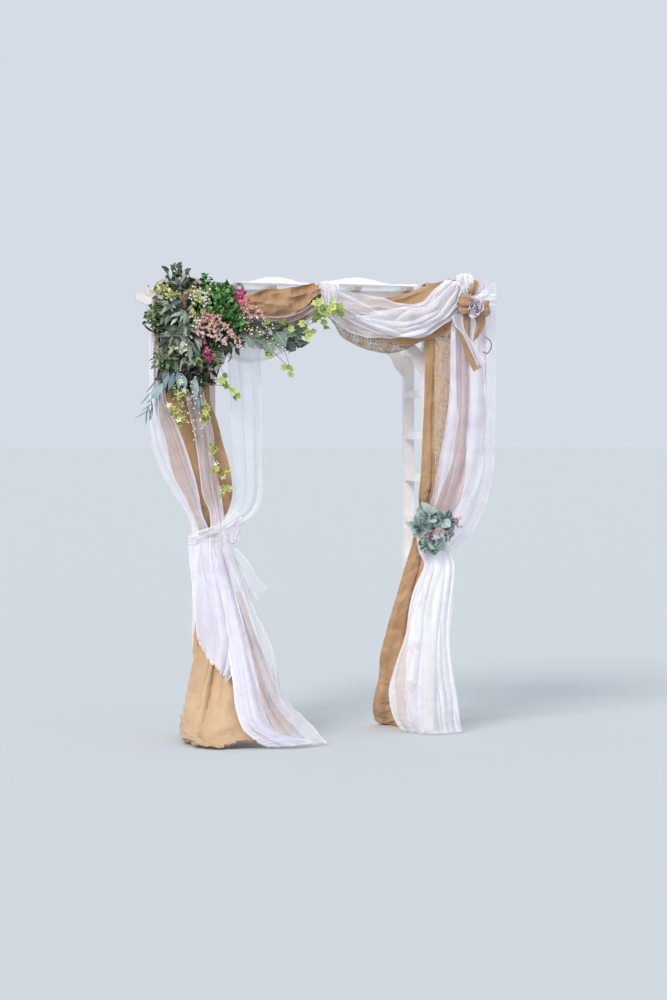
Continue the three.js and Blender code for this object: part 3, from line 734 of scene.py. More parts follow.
make_cloth(
    "left_tulle_skirt_long",
    [
        [(-612, -300, 955), (-545, -322, 960), (-478, -302, 955)],
        [(-592, -318, 885), (-526, -342, 888), (-462, -320, 885)],
        [(-570, -340, 780), (-502, -372, 780), (-430, -342, 780)],
        [(-548, -380, 650), (-474, -424, 650), (-398, -380, 650)],
        [(-522, -430, 520), (-438, -484, 520), (-352, -422, 520)],
        [(-500, -490, 400), (-408, -554, 400), (-314, -462, 400)],
        [(-484, -560, 300), (-380, -624, 300), (-286, -512, 300)],
        [(-482, -620, 190), (-348, -684, 190), (-236, -562, 190)],
        [(-456, -680, 90), (-305, -722, 90), (-146, -622, 100)],
        [(-402, -728, 36), (-252, -744, 30), (-92, -662, 36)],
        [(-346, -745, 8), (-232, -748, 8), (-60, -692, 8)],
    ],
    TULLE, flat=(0.247, 1.3),
    folds=4, depth=[5, 8, 10, 12, 13, 14, 14, 14, 13, 11, 7], seed=29, steps=(120, 180),
    crease=[2, 3, 4, 8], crease_length=80)

make_cloth(
    "left_tulle_skirt_fold",
    [
        [(-600, -316, 940), (-560, -332, 945), (-520, -318, 940)],
        [(-560, -350, 800), (-515, -382, 800), (-470, -362, 800)],
        [(-530, -400, 640), (-480, -440, 640), (-430, -425, 640)],
        [(-505, -470, 480), (-450, -520, 480), (-396, -505, 480)],
        [(-490, -560, 330), (-432, -610, 330), (-372, -590, 330)],
        [(-486, -632, 200), (-420, -680, 200), (-350, -665, 200)],
        [(-462, -690, 100), (-390, -730, 100), (-305, -722, 90)],
        [(-405, -735, 42), (-300, -755, 44), (-190, -735, 46)],
        [(-345, -750, 12), (-230, -762, 14), (-100, -705, 16)],
    ],
    TULLE_DENSE, flat=(0.134, 1.25),
    folds=2.5, depth=[4, 6, 8, 9, 9, 9, 9, 8, 5], seed=129, steps=(60, 150), crease=[2, 3, 4, 6],
    crease_length=80)

make_cloth(
    "left_tulle_skirt_short",
    [
        [(-645, -288, 965), (-575, -326, 970), (-505, -322, 965)],
        [(-652, -290, 915), (-572, -334, 918), (-492, -334, 918)],
        [(-645, -296, 840), (-560, -346, 842), (-474, -340, 842)],
        [(-636, -312, 725), (-548, -392, 722), (-460, -378, 720)],
        [(-630, -330, 615), (-540, -436, 605), (-454, -422, 590)],
        [(-620, -345, 520), (-530, -474, 490), (-454, -462, 460)],
        [(-610, -362, 458), (-540, -498, 400), (-470, -508, 350)],
        [(-602, -385, 432), (-550, -512, 355), (-504, -545, 285)],
    ],
    TULLE_DENSE, flat=(0.3, 0.75),
    folds=4, depth=[5, 7, 9, 11, 12, 12, 11, 8], seed=30, steps=(110, 120), ragged=10,
    crease=[2, 3, 4, 4], crease_length=80)

make_cloth(
    "left_tulle_tail",
    [
        [(-520, -300, 990), (-510, -304, 940), (-500, -300, 890)],
        [(-440, -318, 925), (-430, -326, 870), (-425, -322, 820)],
        [(-370, -330, 850), (-365, -338, 790), (-365, -334, 730)],
        [(-318, -330, 765), (-322, -336, 715), (-330, -332, 665)],
        [(-278, -325, 722), (-300, -328, 680), (-330, -326, 640)],
    ],
    TULLE_SHEER, flat=(0.075, 0.36),
    folds=1.5, depth=6, seed=31, steps=(50, 60), crease=1.0)


# Swags

# Their nets are rows from left to right, and each row goes from the upper or back edge to the lower or
# front one. The cloth from the bow starts at its right end, and the gather is laid out as the drapes are.
SWAG_BULGE, SWAG_TUCK = 12, 8
SLAT_TOP = 2184
CREST_BACK, CREST_FRONT, SLAT_TIPS = -200, -270, -296


def swag_net(rows):
    """Rows of top x, top z, lower x, lower z and y become rows of points; the middle bulges forwards."""
    net = []
    for top_x, top_z, low_x, low_z, y in rows:
        middle = ((top_x + low_x) / 2, y - SWAG_BULGE, (top_z + low_z) / 2)
        net.append([(top_x, y, top_z), middle, (low_x, y + SWAG_TUCK, low_z)])
    return net


def over_slats(rows):
    """Rows of x, the height of the hump and the back edge's y: cloth over the slats, behind their tips."""
    return [[(x, back, SLAT_TOP), (x, back * 0.6 - 90, hump - 6), (x, CREST_BACK, hump),
             (x, CREST_FRONT, hump - 4), (x, SLAT_TIPS, SLAT_TOP - 1)] for x, hump, back in rows]


make_cloth(
    "swag_burlap_left",
    swag_net([
        (-640, 2150, -640, 2000, -318), (-520, 2135, -520, 1985, -322), (-430, 2120, -430, 1975, -322),
        (-340, 2130, -345, 1972, -326), (-279, 2150, -262, 1972, -330), (-200, 2158, -190, 1978, -332),
        (-130, 2164, -130, 1998, -332), (-85, 2172, -80, 2038, -332), (-48, 2184, -46, 2080, -348),
        (-8, 2174, -8, 2112, -334),
    ]),
    BURLAP, flat=(0.15, 0.8),
    folds=2.2, depth=[7, 10, 12, 13, 12, 10, 7], drift=0.9, seed=41, steps=(90, 180),
    crease=[6, 8, 10, 11, 9, 6], crease_length=120, replaced=["swag_burlap"])

make_cloth(
    "swag_tulle_left",
    swag_net([
        (-600, 2060, -600, 1960, -336), (-500, 2040, -500, 1968, -336), (-409, 2035, -409, 1970, -336),
        (-337, 2030, -337, 1966, -336), (-260, 2022, -250, 1958, -338), (-190, 2025, -180, 1962, -338),
        (-123, 2045, -120, 1988, -338), (-70, 2080, -66, 2022, -338), (-27, 2110, -27, 2055, -338),
        (10, 2135, 10, 2090, -338),
    ]),
    TULLE_OVER_SHADED_BURLAP, flat=(0.1, 0.8),
    folds=4, depth=6, seed=42, steps=(80, 140), replaced=["swag_tulle"])

make_cloth(
    "swag_tulle_fall",
    swag_net([
        (-580, 2100, -580, 1872, -312), (-501, 2080, -501, 1842, -312), (-430, 2060, -430, 1812, -312),
        (-371, 2040, -371, 1798, -312), (-300, 2030, -300, 1804, -312), (-240, 2025, -235, 1828, -312),
        (-170, 2035, -160, 1872, -312), (-110, 2060, -105, 1940, -314), (-50, 2090, -48, 2030, -318),
        (0, 2120, 0, 2080, -322),
    ]),
    TULLE_WHITE, flat=(0.18, 0.8),
    folds=4, depth=8, seed=43, steps=(90, 140))

make_cloth(
    "swag_tulle_top_left",
    over_slats([(-640, 2188, -95), (-521, 2190, -60), (-424, 2189, -30), (-345, 2194, -48),
                (-290, 2208, -24), (-235, 2215, -14), (-175, 2209, -40), (-115, 2194, -66),
                (-60, 2187, -104), (-10, 2186, -150)]),
    TULLE_PUFFED, flat=(0.25, 0.7),
    folds=4, depth=3, seed=44, steps=(90, 120), crease=2, crease_length=90)

make_cloth(
    "swag_tulle_top_right",
    over_slats([(-30, 2185, -150), (20, 2191, -110), (75, 2206, -68), (130, 2215, -38), (190, 2218, -22),
                (255, 2208, -50), (320, 2193, -24), (390, 2187, -72), (470, 2187, -120)]),
    TULLE_PUFFED, flat=(0.242, 0.55),
    folds=4, depth=3, seed=45, steps=(90, 100), crease=2, crease_length=90)

make_cloth(
    "swag_open_burlap",
    swag_net([
        (-20, 2120, -20, 2060, -306), (50, 2080, 50, 1990, -306), (95, 2050, 88, 1930, -304),
        (150, 2030, 142, 1895, -302), (235, 2010, 225, 1862, -300), (325, 2000, 325, 1846, -300),
        (402, 2010, 402, 1862, -302), (485, 2030, 485, 1902, -306), (569, 2060, 572, 1930, -312),
        (647, 2090, 650, 1964, -318),
    ]),
    OPEN_SWAG, flat=(0.12, 0.85),
    folds=1.5, depth=5, seed=46, steps=(50, 140), crease=2.0)

make_cloth(
    "swag_burlap_right",
    swag_net([
        (-30, 2165, -20, 2090, -318), (50, 2125, 45, 2030, -324), (100, 2115, 95, 1985, -324),
        (160, 2110, 150, 1952, -320), (240, 2110, 230, 1925, -318), (325, 2122, 325, 1905, -318),
        (402, 2144, 402, 1885, -320), (485, 2176, 485, 1908, -324), (560, 2196, 569, 1934, -330),
        (620, 2208, 647, 1970, -338), (680, 2206, 690, 2060, -342),
    ]),
    BURLAP, flat=(0.19, 0.9),
    folds=2, depth=8, seed=47, steps=(80, 150), crease=3.0, crease_length=110)

make_cloth(
    "swag_tulle_right",
    swag_net([
        (-25, 2172, -20, 2075, -340), (32, 2150, 40, 2012, -348), (120, 2134, 108, 1960, -346),
        (210, 2124, 195, 1928, -342), (300, 2112, 300, 1916, -340), (400, 2086, 400, 1921, -342),
        (475, 2092, 490, 1938, -348), (535, 2150, 565, 1984, -354), (590, 2202, 628, 2020, -360),
        (660, 2205, 680, 2080, -362),
    ]),
    TULLE_SWAG, flat=(0.22, 0.85),
    folds=4, depth=[5, 8, 11, 12, 12, 12, 11, 10, 8, 6], drift=0.9, seed=48, steps=(150, 160), crease=3.5,
    crease_length=90)

make_cloth(
    "swag_tulle_from_gather",
    swag_net([
        (-25, 2172, -20, 2110, -352), (30, 2160, 20, 2080, -358), (100, 2128, 75, 2035, -358),
        (190, 2085, 160, 1985, -356), (290, 2040, 265, 1945, -354), (390, 2005, 380, 1925, -354),
        (480, 2010, 490, 1940, -358), (560, 2050, 580, 1995, -362), (640, 2110, 650, 2060, -366),
    ]),
    TULLE_SHEER, flat=(0.11, 0.8),
    folds=3, depth=7, seed=149, steps=(80, 140), drift=0.6)

make_cloth(
    "swag_tulle_from_bow",
    [
        [(590, -368, 2205), (640, -376, 2195), (690, -372, 2170)],
        [(535, -366, 2160), (590, -380, 2130), (655, -374, 2090)],
        [(490, -362, 2105), (545, -380, 2065), (610, -370, 2030)],
        [(455, -358, 2085), (490, -374, 2030), (545, -364, 1985)],
        [(400, -356, 2075), (425, -370, 2010), (465, -360, 1945)],
        [(330, -354, 2060), (350, -366, 1995), (375, -356, 1930)],
        [(250, -352, 2050), (258, -360, 2005), (268, -354, 1960)],
        [(190, -350, 2030), (196, -354, 2012), (200, -350, 1994)],
        [(150, -346, 2026), (152, -348, 2022), (154, -346, 2018)],
    ],
    TULLE_WHITE, flat=(0.213, 0.62),
    folds=5, depth=[5, 9, 10, 10, 9, 8, 7, 5], seed=150, steps=(110, 120), drift=0.6)

make_cloth(
    "swag_tulle_gather",
    [
        [(-20, -304, 2184), (16, -316, 2196), (64, -304, 2190)],
        [(-26, -348, 2164), (14, -372, 2172), (60, -352, 2160)],
        [(-18, -356, 2122), (12, -380, 2122), (52, -360, 2122)],
        [(-14, -356, 2085), (12, -376, 2080), (46, -358, 2084)],
        [(-12, -352, 2052), (14, -362, 2046), (44, -352, 2052)],
    ],
    TULLE_SWAG, flat=(0.124, 0.17),
    folds=4, depth=[4, 6, 6, 6, 4], seed=151, steps=(70, 50), crease=2, crease_length=30)


# Right drape

make_cloth(
    "right_burlap_cloth",
    [
        [(515, -150, 2179), (538, -150, 2179), (562, -150, 2179)],
        [(512, -305, 2178), (537, -308, 2178), (562, -305, 2178)],
        [(512, -296, 2040), (536, -300, 2040), (560, -296, 2040)],
        [(510, -290, 1750), (534, -296, 1750), (558, -290, 1750)],
        [(505, -288, 1600), (531, -294, 1600), (557, -288, 1600)],
        [(496, -286, 1440), (526, -292, 1440), (556, -286, 1440)],
        [(490, -284, 1300), (526, -292, 1300), (562, -284, 1300)],
        [(484, -282, 1220), (524, -294, 1220), (562, -282, 1220)],
        [(478, -276, 1160), (514, -288, 1160), (552, -276, 1160)],
        [(482, -262, 1090), (510, -268, 1090), (540, -262, 1090)],
        [(466, -250, 1000), (498, -256, 1000), (532, -250, 1000)],
        [(450, -255, 920), (486, -262, 920), (520, -255, 920)],
        [(424, -245, 820), (468, -262, 820), (512, -262, 820)],
        [(398, -225, 710), (440, -245, 710), (484, -252, 710)],
        [(374, -195, 600), (416, -220, 600), (462, -240, 600)],
        [(350, -160, 480), (398, -185, 480), (450, -230, 480)],
        [(330, -125, 360), (380, -150, 360), (440, -225, 360)],
        [(332, -90, 260), (390, -120, 260), (440, -215, 260)],
        [(322, -40, 165), (385, -75, 165), (440, -190, 165)],
        [(325, 20, 85), (400, -20, 85), (455, -160, 85)],
        [(350, 80, 24), (420, 20, 20), (470, -140, 20)],
        [(390, 110, 9), (450, 40, 9), (480, -130, 9)],
    ],
    BURLAP, flat=(0.11, 2.6),
    folds=1.0, depth=[2, 3, 3, 3, 3, 3, 4, 6, 9, 6, 5, 5, 6, 7, 8, 9, 9, 9, 10, 10, 8, 5], seed=51,
    steps=(44, 300), crease=[3, 4, 4, 5, 9, 6, 5, 6, 9], crease_length=90,
    replaced=["right_burlap_drape"])

make_cloth(
    "right_open_burlap",
    [
        [(555, -140, 2181), (598, -140, 2181), (640, -140, 2181)],
        [(551, -308, 2182), (596, -312, 2182), (640, -308, 2182)],
        [(551, -302, 2040), (594, -308, 2040), (637, -302, 2040)],
        [(551, -298, 1880), (594, -304, 1880), (637, -298, 1880)],
        [(551, -296, 1747), (592, -302, 1747), (635, -296, 1747)],
        [(551, -294, 1640), (594, -300, 1640), (637, -294, 1640)],
        [(551, -292, 1540), (588, -298, 1540), (624, -292, 1540)],
        [(551, -290, 1440), (578, -296, 1440), (606, -290, 1440)],
        [(553, -288, 1337), (572, -294, 1337), (592, -288, 1337)],
        [(556, -286, 1260), (568, -292, 1260), (580, -286, 1260)],
        [(550, -284, 1180), (560, -290, 1180), (570, -284, 1180)],
        [(530, -280, 1090), (540, -286, 1090), (552, -280, 1090)],
    ],
    OPEN_BURLAP, flat=(0.08, 1.35),
    folds=1.4, depth=[2, 3, 4, 4, 4, 4, 5, 6, 6, 5, 4, 3], seed=52, steps=(40, 160), crease=1.5)

make_cloth(
    "right_burlap_behind",
    [
        [(655, -130, 2180), (692, -130, 2180), (730, -130, 2180)],
        [(655, -306, 2178), (692, -308, 2178), (730, -306, 2178)],
        [(656, -302, 2000), (692, -306, 2000), (730, -302, 2000)],
        [(661, -298, 1820), (694, -303, 1820), (728, -298, 1820)],
        [(668, -294, 1625), (696, -299, 1625), (725, -294, 1625)],
        [(672, -292, 1528), (696, -297, 1528), (720, -292, 1528)],
        [(658, -288, 1381), (688, -293, 1381), (716, -288, 1381)],
        [(624, -284, 1259), (666, -290, 1259), (708, -284, 1259)],
        [(579, -280, 1138), (632, -286, 1138), (686, -280, 1138)],
        [(545, -276, 1050), (585, -282, 1050), (630, -276, 1050)],
    ],
    BURLAP, flat=(0.08, 1.4),
    folds=1.4, depth=5, seed=53, steps=(40, 150), crease=2.0)

make_cloth(
    "right_tulle_cloth",
    [
        [(630, -110, 2182), (740, -110, 2182), (850, -110, 2182)],
        [(632, -320, 2190), (742, -324, 2192), (850, -318, 2190)],
        [(633, -318, 2030), (744, -324, 2030), (852, -316, 2030)],
        [(631, -314, 1869), (744, -322, 1869), (856, -312, 1869)],
        [(630, -310, 1644), (744, -320, 1644), (858, -306, 1644)],
        [(601, -306, 1440), (732, -316, 1440), (858, -300, 1440)],
        [(566, -302, 1269), (714, -312, 1269), (854, -294, 1269)],
        [(547, -298, 1186), (690, -308, 1186), (838, -290, 1186)],
        [(528, -292, 1098), (662, -302, 1098), (816, -288, 1098)],
        [(512, -288, 1020), (620, -300, 1005), (762, -286, 990)],
        [(500, -290, 970), (580, -304, 945), (690, -288, 920)],
        [(494, -292, 930), (556, -308, 900), (630, -292, 870)],
    ],
    TULLE_VEIL, flat=(0.34, 1.6),
    folds=4.5, depth=[4, 8, 12, 14, 15, 15, 14, 12, 11, 10, 8, 6], seed=54, steps=(150, 170), drift=0.3,
    replaced=["right_tulle_drape"])

make_cloth(
    "right_tulle_front",
    [
        [(640, -322, 2196), (700, -336, 2196), (760, -326, 2192)],
        [(640, -330, 2030), (700, -342, 2030), (775, -330, 2030)],
        [(636, -326, 1860), (705, -340, 1860), (790, -326, 1860)],
        [(632, -322, 1640), (712, -336, 1640), (800, -322, 1640)],
        [(606, -316, 1440), (700, -330, 1440), (800, -316, 1440)],
        [(572, -312, 1269), (672, -324, 1269), (782, -308, 1269)],
        [(550, -308, 1150), (636, -318, 1150), (738, -302, 1150)],
        [(528, -304, 1060), (594, -314, 1050), (670, -300, 1040)],
        [(512, -304, 990), (566, -314, 975), (618, -300, 955)],
    ],
    TULLE_VEIL, flat=(0.22, 1.4),
    folds=3.5, depth=[5, 8, 11, 12, 12, 11, 9, 7, 5], seed=154, steps=(110, 150), drift=0.4)

make_cloth(
    "right_tulle_skirt",
    [
        [(462, -280, 960), (530, -312, 960), (600, -290, 955)],
        [(474, -290, 880), (545, -318, 880), (640, -296, 870)],
        [(502, -296, 815), (560, -322, 815), (655, -300, 810)],
        [(455, -298, 695), (530, -334, 695), (650, -304, 695)],
        [(428, -298, 604), (518, -340, 604), (640, -308, 604)],
        [(404, -298, 483), (508, -350, 483), (630, -312, 483)],
        [(358, -296, 354), (495, -358, 354), (636, -318, 354)],
        [(332, -292, 245), (488, -368, 245), (648, -326, 245)],
        [(332, -290, 185), (490, -376, 185), (656, -332, 185)],
        [(345, -286, 110), (495, -386, 110), (664, -338, 110)],
        [(372, -278, 45), (505, -398, 40), (672, -350, 45)],
        [(410, -272, 9), (520, -405, 9), (678, -362, 9)],
    ],
    TULLE_WHITE, flat=(0.316, 1.25),
    folds=5, depth=[5, 8, 10, 12, 13, 14, 15, 15, 15, 14, 10, 5], seed=55, steps=(150, 160))


# Bow

def ribbon_net(line, sideways, widths):
    """A ribbon along a line of points, as rows of points from one edge to the other."""
    side = unit(np.asarray(sideways, float))
    widths = np.interp(np.linspace(0, 1, len(line)), np.linspace(0, 1, len(widths)), widths) / 2
    return [[np.asarray(p) - side * half, np.asarray(p), np.asarray(p) + side * half]
            for p, half in zip(line, widths)]


def loop_line(root, tip, opening):
    """The middle line of a bow's loop: out in front, round the tip, and back behind."""
    root, tip = np.asarray(root, float), np.asarray(tip, float)
    front = np.array([0, -opening, 0.0])
    return [root, root + 0.35 * (tip - root) + front, root + 0.8 * (tip - root) + 0.9 * front, tip,
            root + 0.8 * (tip - root) - 0.5 * front, root + 0.35 * (tip - root) - 0.4 * front, root]


# How full the ribbons of the bow are: the folds, their depth, and the cut width beside the seen one
BURLAP_RIBBON = (1.5, 4.0, 1.0)
TULLE_RIBBON = (2, 5, 1.5)

# A loop's width along its ribbon, beside its full width, and the ribbon's length beside the loop's reach
LOOP_SHAPE = np.array([0.35, 0.8, 1.0, 0.74, 1.0, 0.8, 0.35])
LOOP_LENGTH = 2.3

for piece_name, root, tip, width, opening, finish, (folds, depth, full), seed in [
        ("bow_burlap_loop_1", (716, -378, 2130), (731, -388, 2202), 46, 20, BURLAP_BOW_SHADED, BURLAP_RIBBON, 61),
        ("bow_burlap_loop_2", (722, -388, 2098), (656, -398, 2108), 56, 26, BURLAP_BOW_SHADED, BURLAP_RIBBON, 62),
        ("bow_burlap_loop_4", (722, -386, 2070), (654, -392, 2068), 58, 20, BURLAP_BOW_SHADED, BURLAP_RIBBON, 72),
        ("bow_burlap_loop_3", (735, -386, 2066), (806, -382, 2070), 72, 26, BURLAP_BOW_SHADED, BURLAP_RIBBON, 63),
        ("bow_tulle_loop_1", (690, -384, 2130), (652, -388, 2226), 44, 18, TULLE_WHITE, TULLE_RIBBON, 64),
        ("bow_tulle_loop_2", (735, -380, 2104), (844, -376, 2112), 56, 20, TULLE_WHITE, TULLE_RIBBON, 65),
        ("bow_tulle_loop_3", (700, -380, 2125), (694, -390, 2232), 50, 20, TULLE_LILAC, TULLE_RIBBON, 66),
        ("bow_tulle_loop_4", (730, -384, 2112), (806, -380, 2146), 46, 18, TULLE_WHITE, TULLE_RIBBON, 71)]:
    out = np.subtract(tip, root, dtype=float)
    length = LOOP_LENGTH * np.linalg.norm(out) * MM
    net = ribbon_net(loop_line(root, tip, opening), np.cross(out, (0, 1, 0)), width * LOOP_SHAPE)
    make_cloth(
        piece_name, net, finish, flat=(round(width * MM * full, 3), round(length, 3)),
        folds=folds, depth=depth, seed=seed, steps=(36, 70), crease=2.6,
        crease_length=34)

for piece_name, line, widths, length, finish, seed in [
        ("bow_burlap_tail_1", [(748, -388, 2050), (762, -386, 2000), (752, -378, 1950), (730, -366, 1905)],
         (50, 52, 46, 14), 0.16, BURLAP_BOW_SHADED, 67),
        ("bow_burlap_tail_2", [(690, -380, 2060), (680, -374, 1960), (706, -364, 1870), (755, -352, 1772)],
         (30, 40, 42, 42), 0.3, BURLAP_BOW_SHADED, 68),
        ("bow_tulle_tail", [(645, -380, 2040), (655, -384, 1990), (680, -380, 1950), (722, -372, 1880),
                            (772, -360, 1800)], (62, 44, 20, 30, 44), 0.3, TULLE, 69)]:
    make_cloth(
        piece_name, ribbon_net(line, (1, 0, 0.45), widths), finish,
        flat=(round(float(np.mean(widths)) * MM * 1.1, 3), length),
        folds=1.2, depth=3, seed=seed, steps=(30, 70), crease=1.0, crease_length=40)

ROSETTE_TURNS = 5.2
ROSETTE_STATIONS = 90


def rosette_net(middle, radius, height):
    """A strip rolled up into a ruffled, ball-like rosette whose open side looks forwards."""
    net = []
    for k in range(ROSETTE_STATIONS):
        part = k / (ROSETTE_STATIONS - 1)
        turn = part * ROSETTE_TURNS * TURN
        reach = radius * (0.1 + 0.9 * part) * (1 + 0.14 * math.sin(turn * 3.3))
        out = np.array([math.cos(turn) * 0.85, 0, math.sin(turn) * 1.05])
        foot = np.array(middle) + out * reach * 0.8
        front = height * (1.1 - 0.7 * part) + 4 * math.sin(turn * 4.7)
        net.append([foot, foot + out * reach * 0.15 - (0, 0.6 * front, 0),
                    foot + out * reach * (0.32 + 0.15 * math.sin(turn * 2.6)) - (0, front, 0)])
    return net


make_cloth(
    "bow_rosette", rosette_net((727, -402, 2072), 46, 42), TULLE_LILAC, flat=(0.044, 0.6),
    folds=1, depth=1.5, seed=70, steps=(14, 300), crease=1.6,
    crease_length=18, replaced=["corner_bow"])


# Flowers and leaves

def blade(half_widths, cup=0.15, droop=0.15):
    """A leaf of unit length along +X with its face up; half_widths are its shape between stalk and tip."""
    count = len(half_widths)
    points, uv = [(0, 0, 0)], [(0, 0.5)]
    for k, half in enumerate(half_widths, start=1):
        x = k / (count + 1)
        sag = -droop * x * x
        for side in (-1, 0, 1):
            points.append((x, side * half, sag + cup * abs(side) * half))
            uv.append((x, 0.5 + 0.5 * side))
    points.append((1, 0, -droop))
    uv.append((1, 0.5))
    faces = [(0, 1, 2), (0, 2, 3)]
    for k in range(count - 1):
        a = 1 + 3 * k
        faces += [(a, a + 3, a + 4), (a, a + 4, a + 1), (a + 1, a + 4, a + 5), (a + 1, a + 5, a + 2)]
    tip, a = len(points) - 1, 1 + 3 * (count - 1)
    faces += [(a, tip, a + 1), (a + 1, tip, a + 2)]
    return np.array(points, float), np.array(faces), np.array(uv, float)


def rosette_shape(radii, dish=0.3):
    """A flower or lobed leaf of unit size: its rim at the given radii round its middle, facing up."""
    count = len(radii)
    points, uv = [(0, 0, 0)], [(0, 0.5)]
    for k, radius in enumerate(radii):
        turn = TURN * k / count
        for part in (0.55, 1.0):
            reach = radius * part
            points.append((reach * math.cos(turn), reach * math.sin(turn), dish * reach * reach))
            uv.append((part, 0.5 + 0.45 * math.sin(turn * 2.5)))
    faces = []
    for k in range(count):
        a, b = 1 + 2 * k, 1 + 2 * ((k + 1) % count)
        faces += [(0, a, b), (a, a + 1, b + 1), (a, b + 1, b)]
    return np.array(points, float), np.array(faces), np.array(uv, float)


def ball_shape(rings=4, around=6):
    """A berry or bud of unit radius."""
    points, uv = [(0, 0, -1)], [(0, 0.5)]
    for k in range(1, rings):
        height = -math.cos(math.pi * k / rings)
        reach = math.sin(math.pi * k / rings)
        for j in range(around):
            turn = TURN * (j + 0.5 * (k % 2)) / around
            points.append((reach * math.cos(turn), reach * math.sin(turn), height))
            uv.append((k / rings, j / around))
    points.append((0, 0, 1))
    uv.append((1, 0.5))
    faces = [(0, 1 + (j + 1) % around, 1 + j) for j in range(around)]
    for k in range(rings - 2):
        for j in range(around):
            a, b = 1 + k * around + j, 1 + k * around + (j + 1) % around
            faces += [(a, b, b + around), (a, b + around, a + around)]
    top, start = len(points) - 1, 1 + (rings - 2) * around
    faces += [(top, start + j, start + (j + 1) % around) for j in range(around)]
    return np.array(points, float), np.array(faces), np.array(uv, float)


def petals(count, notch):
    """The rim of a flower with that many petals."""
    steps = count * 4
    return [1 - notch * (0.5 + 0.5 * math.cos(TURN * k * count / steps)) for k in range(steps)]


# The forms of each shape; a leaf's are cupped and droop by different amounts
CURLS = [(0.10, -0.15), (0.25, 0.30), (0.50, 0.15), (0.20, 0.70), (0.65, 0.45)]
LANCE = [blade([0.07, 0.11, 0.12, 0.10, 0.06], *curl) for curl in CURLS]
NARROW = [blade([0.03, 0.05, 0.05, 0.03], droop=0.3)]
SPOON = [blade([0.07, 0.13, 0.20, 0.26, 0.29, 0.28, 0.20], *curl) for curl in CURLS]
OVAL = [blade([0.16, 0.25, 0.28, 0.24, 0.14], *curl) for curl in CURLS]
LOBED = [blade([0.20, 0.34, 0.28, 0.38, 0.26, 0.30, 0.14], 0.5 * cup, droop) for cup, droop in CURLS]
ROUND_LEAF = [blade([0.26, 0.40, 0.42, 0.28], *curl) for curl in CURLS[:3]]
IVY = [rosette_shape([1.0, 0.62, 0.86, 0.58, 0.8, 0.45, 0.7, 0.45, 0.8, 0.58, 0.86, 0.62], dish)
       for dish in (0.15, 0.45)]
FIVE_PETALS = [rosette_shape(petals(5, 0.55), 0.5)]
BERRY = [ball_shape(5, 8)]
BUD = [ball_shape(3, 5)]

# Nothing that grows reaches further back than this, into the cloth
BACK = -318


class Bunch:
    """Many copies of small shapes that become one piece."""

    def __init__(self, seed):
        self.rng = np.random.default_rng(seed)
        self.points, self.faces, self.uv, self.shade = [], [], [], []
        self.count = 0

    def add(self, shape, place, along, face, size, shade=None, width=1.0):
        """One copy of one of a shape's forms: its length points along, its upper side towards face."""
        points, faces, uv = shape[self.rng.integers(len(shape))]
        along = unit(np.asarray(along, float))
        side = np.cross(face, along)
        if np.linalg.norm(side) < 1e-3:
            side = np.cross((0.3, 0.5, 0.8), along)
        side = unit(side)
        turned = points * (1, width, 1) @ np.array([along, side, np.cross(along, side)])
        copy = np.asarray(place, float) + size * turned
        if copy[:, 1].max() > BACK:
            return
        self.points.append(copy)
        self.faces.append(faces + self.count)
        self.uv.append(uv)
        shade = self.rng.uniform(0, 1) if shade is None else shade
        self.shade.append(np.full(len(points), shade))
        self.count += len(points)

    def add_tube(self, line, radius, tip_radius, sides=5, steps=24):
        """A stem along a smooth line, closed at both ends."""
        path = curve_through(np.asarray(line, float), np.linspace(0, 1, steps))
        ahead = unit(np.gradient(path, axis=0))
        side = unit(np.cross(ahead, (0.2, 0.9, 0.4)))
        other = np.cross(ahead, side)
        turns = np.arange(sides) * TURN / sides
        reach = np.linspace(radius, tip_radius, steps)[:, None, None]
        rings = path[:, None] + reach * (side[:, None] * np.cos(turns)[None, :, None]
                                         + other[:, None] * np.sin(turns)[None, :, None])
        faces = []
        for k in range(steps - 1):
            for j in range(sides):
                a, b = k * sides + j, k * sides + (j + 1) % sides
                faces += [(a, b, b + sides), (a, b + sides, a + sides)]
        for k in range(1, sides - 1):
            last = (steps - 1) * sides
            faces += [(0, k + 1, k), (last, last + k, last + k + 1)]
        self.points.append(rings.reshape(-1, 3))
        self.faces.append(np.array(faces) + self.count)
        self.uv.append(np.tile((0.5, 0.2), (steps * sides, 1)))
        self.shade.append(np.full(steps * sides, self.rng.uniform(0, 1)))
        self.count += steps * sides

    def make(self, name, finish, replaced=()):
        make_piece(name, np.concatenate(self.points), np.concatenate(self.faces), finish,
                   np.concatenate(self.uv), {"shade": np.concatenate(self.shade)}, replaced)


# Every stem, stalk and twig goes in here
twigs = Bunch(100)

# The turn from one leaf of a whorl to the next, and a stalk's radius at its foot and at its tip
LEAF_TO_LEAF = 2.4
STALK = (1.6, 0.8)


def cover(bunch, lump, shape, count, size, outward=0.6, reach=(0.75, 1.0), width=1.0):
    """Leaves all over a rounded lump, most of them on the sides that can be seen."""
    middle, half_sizes = (np.asarray(part, float) for part in lump)
    rng = bunch.rng
    for _ in range(count):
        out = unit(rng.normal(size=3) - (0, 0.55, 0))
        place = middle + out * half_sizes * rng.uniform(*reach)
        along = unit(out * outward + rng.normal(size=3) * 0.6 - (0, 0, 0.25))
        face = out + rng.normal(size=3) * 0.35
        bunch.add(shape, place - along * size[0] * 0.3, along, face, rng.uniform(*size), width=width)


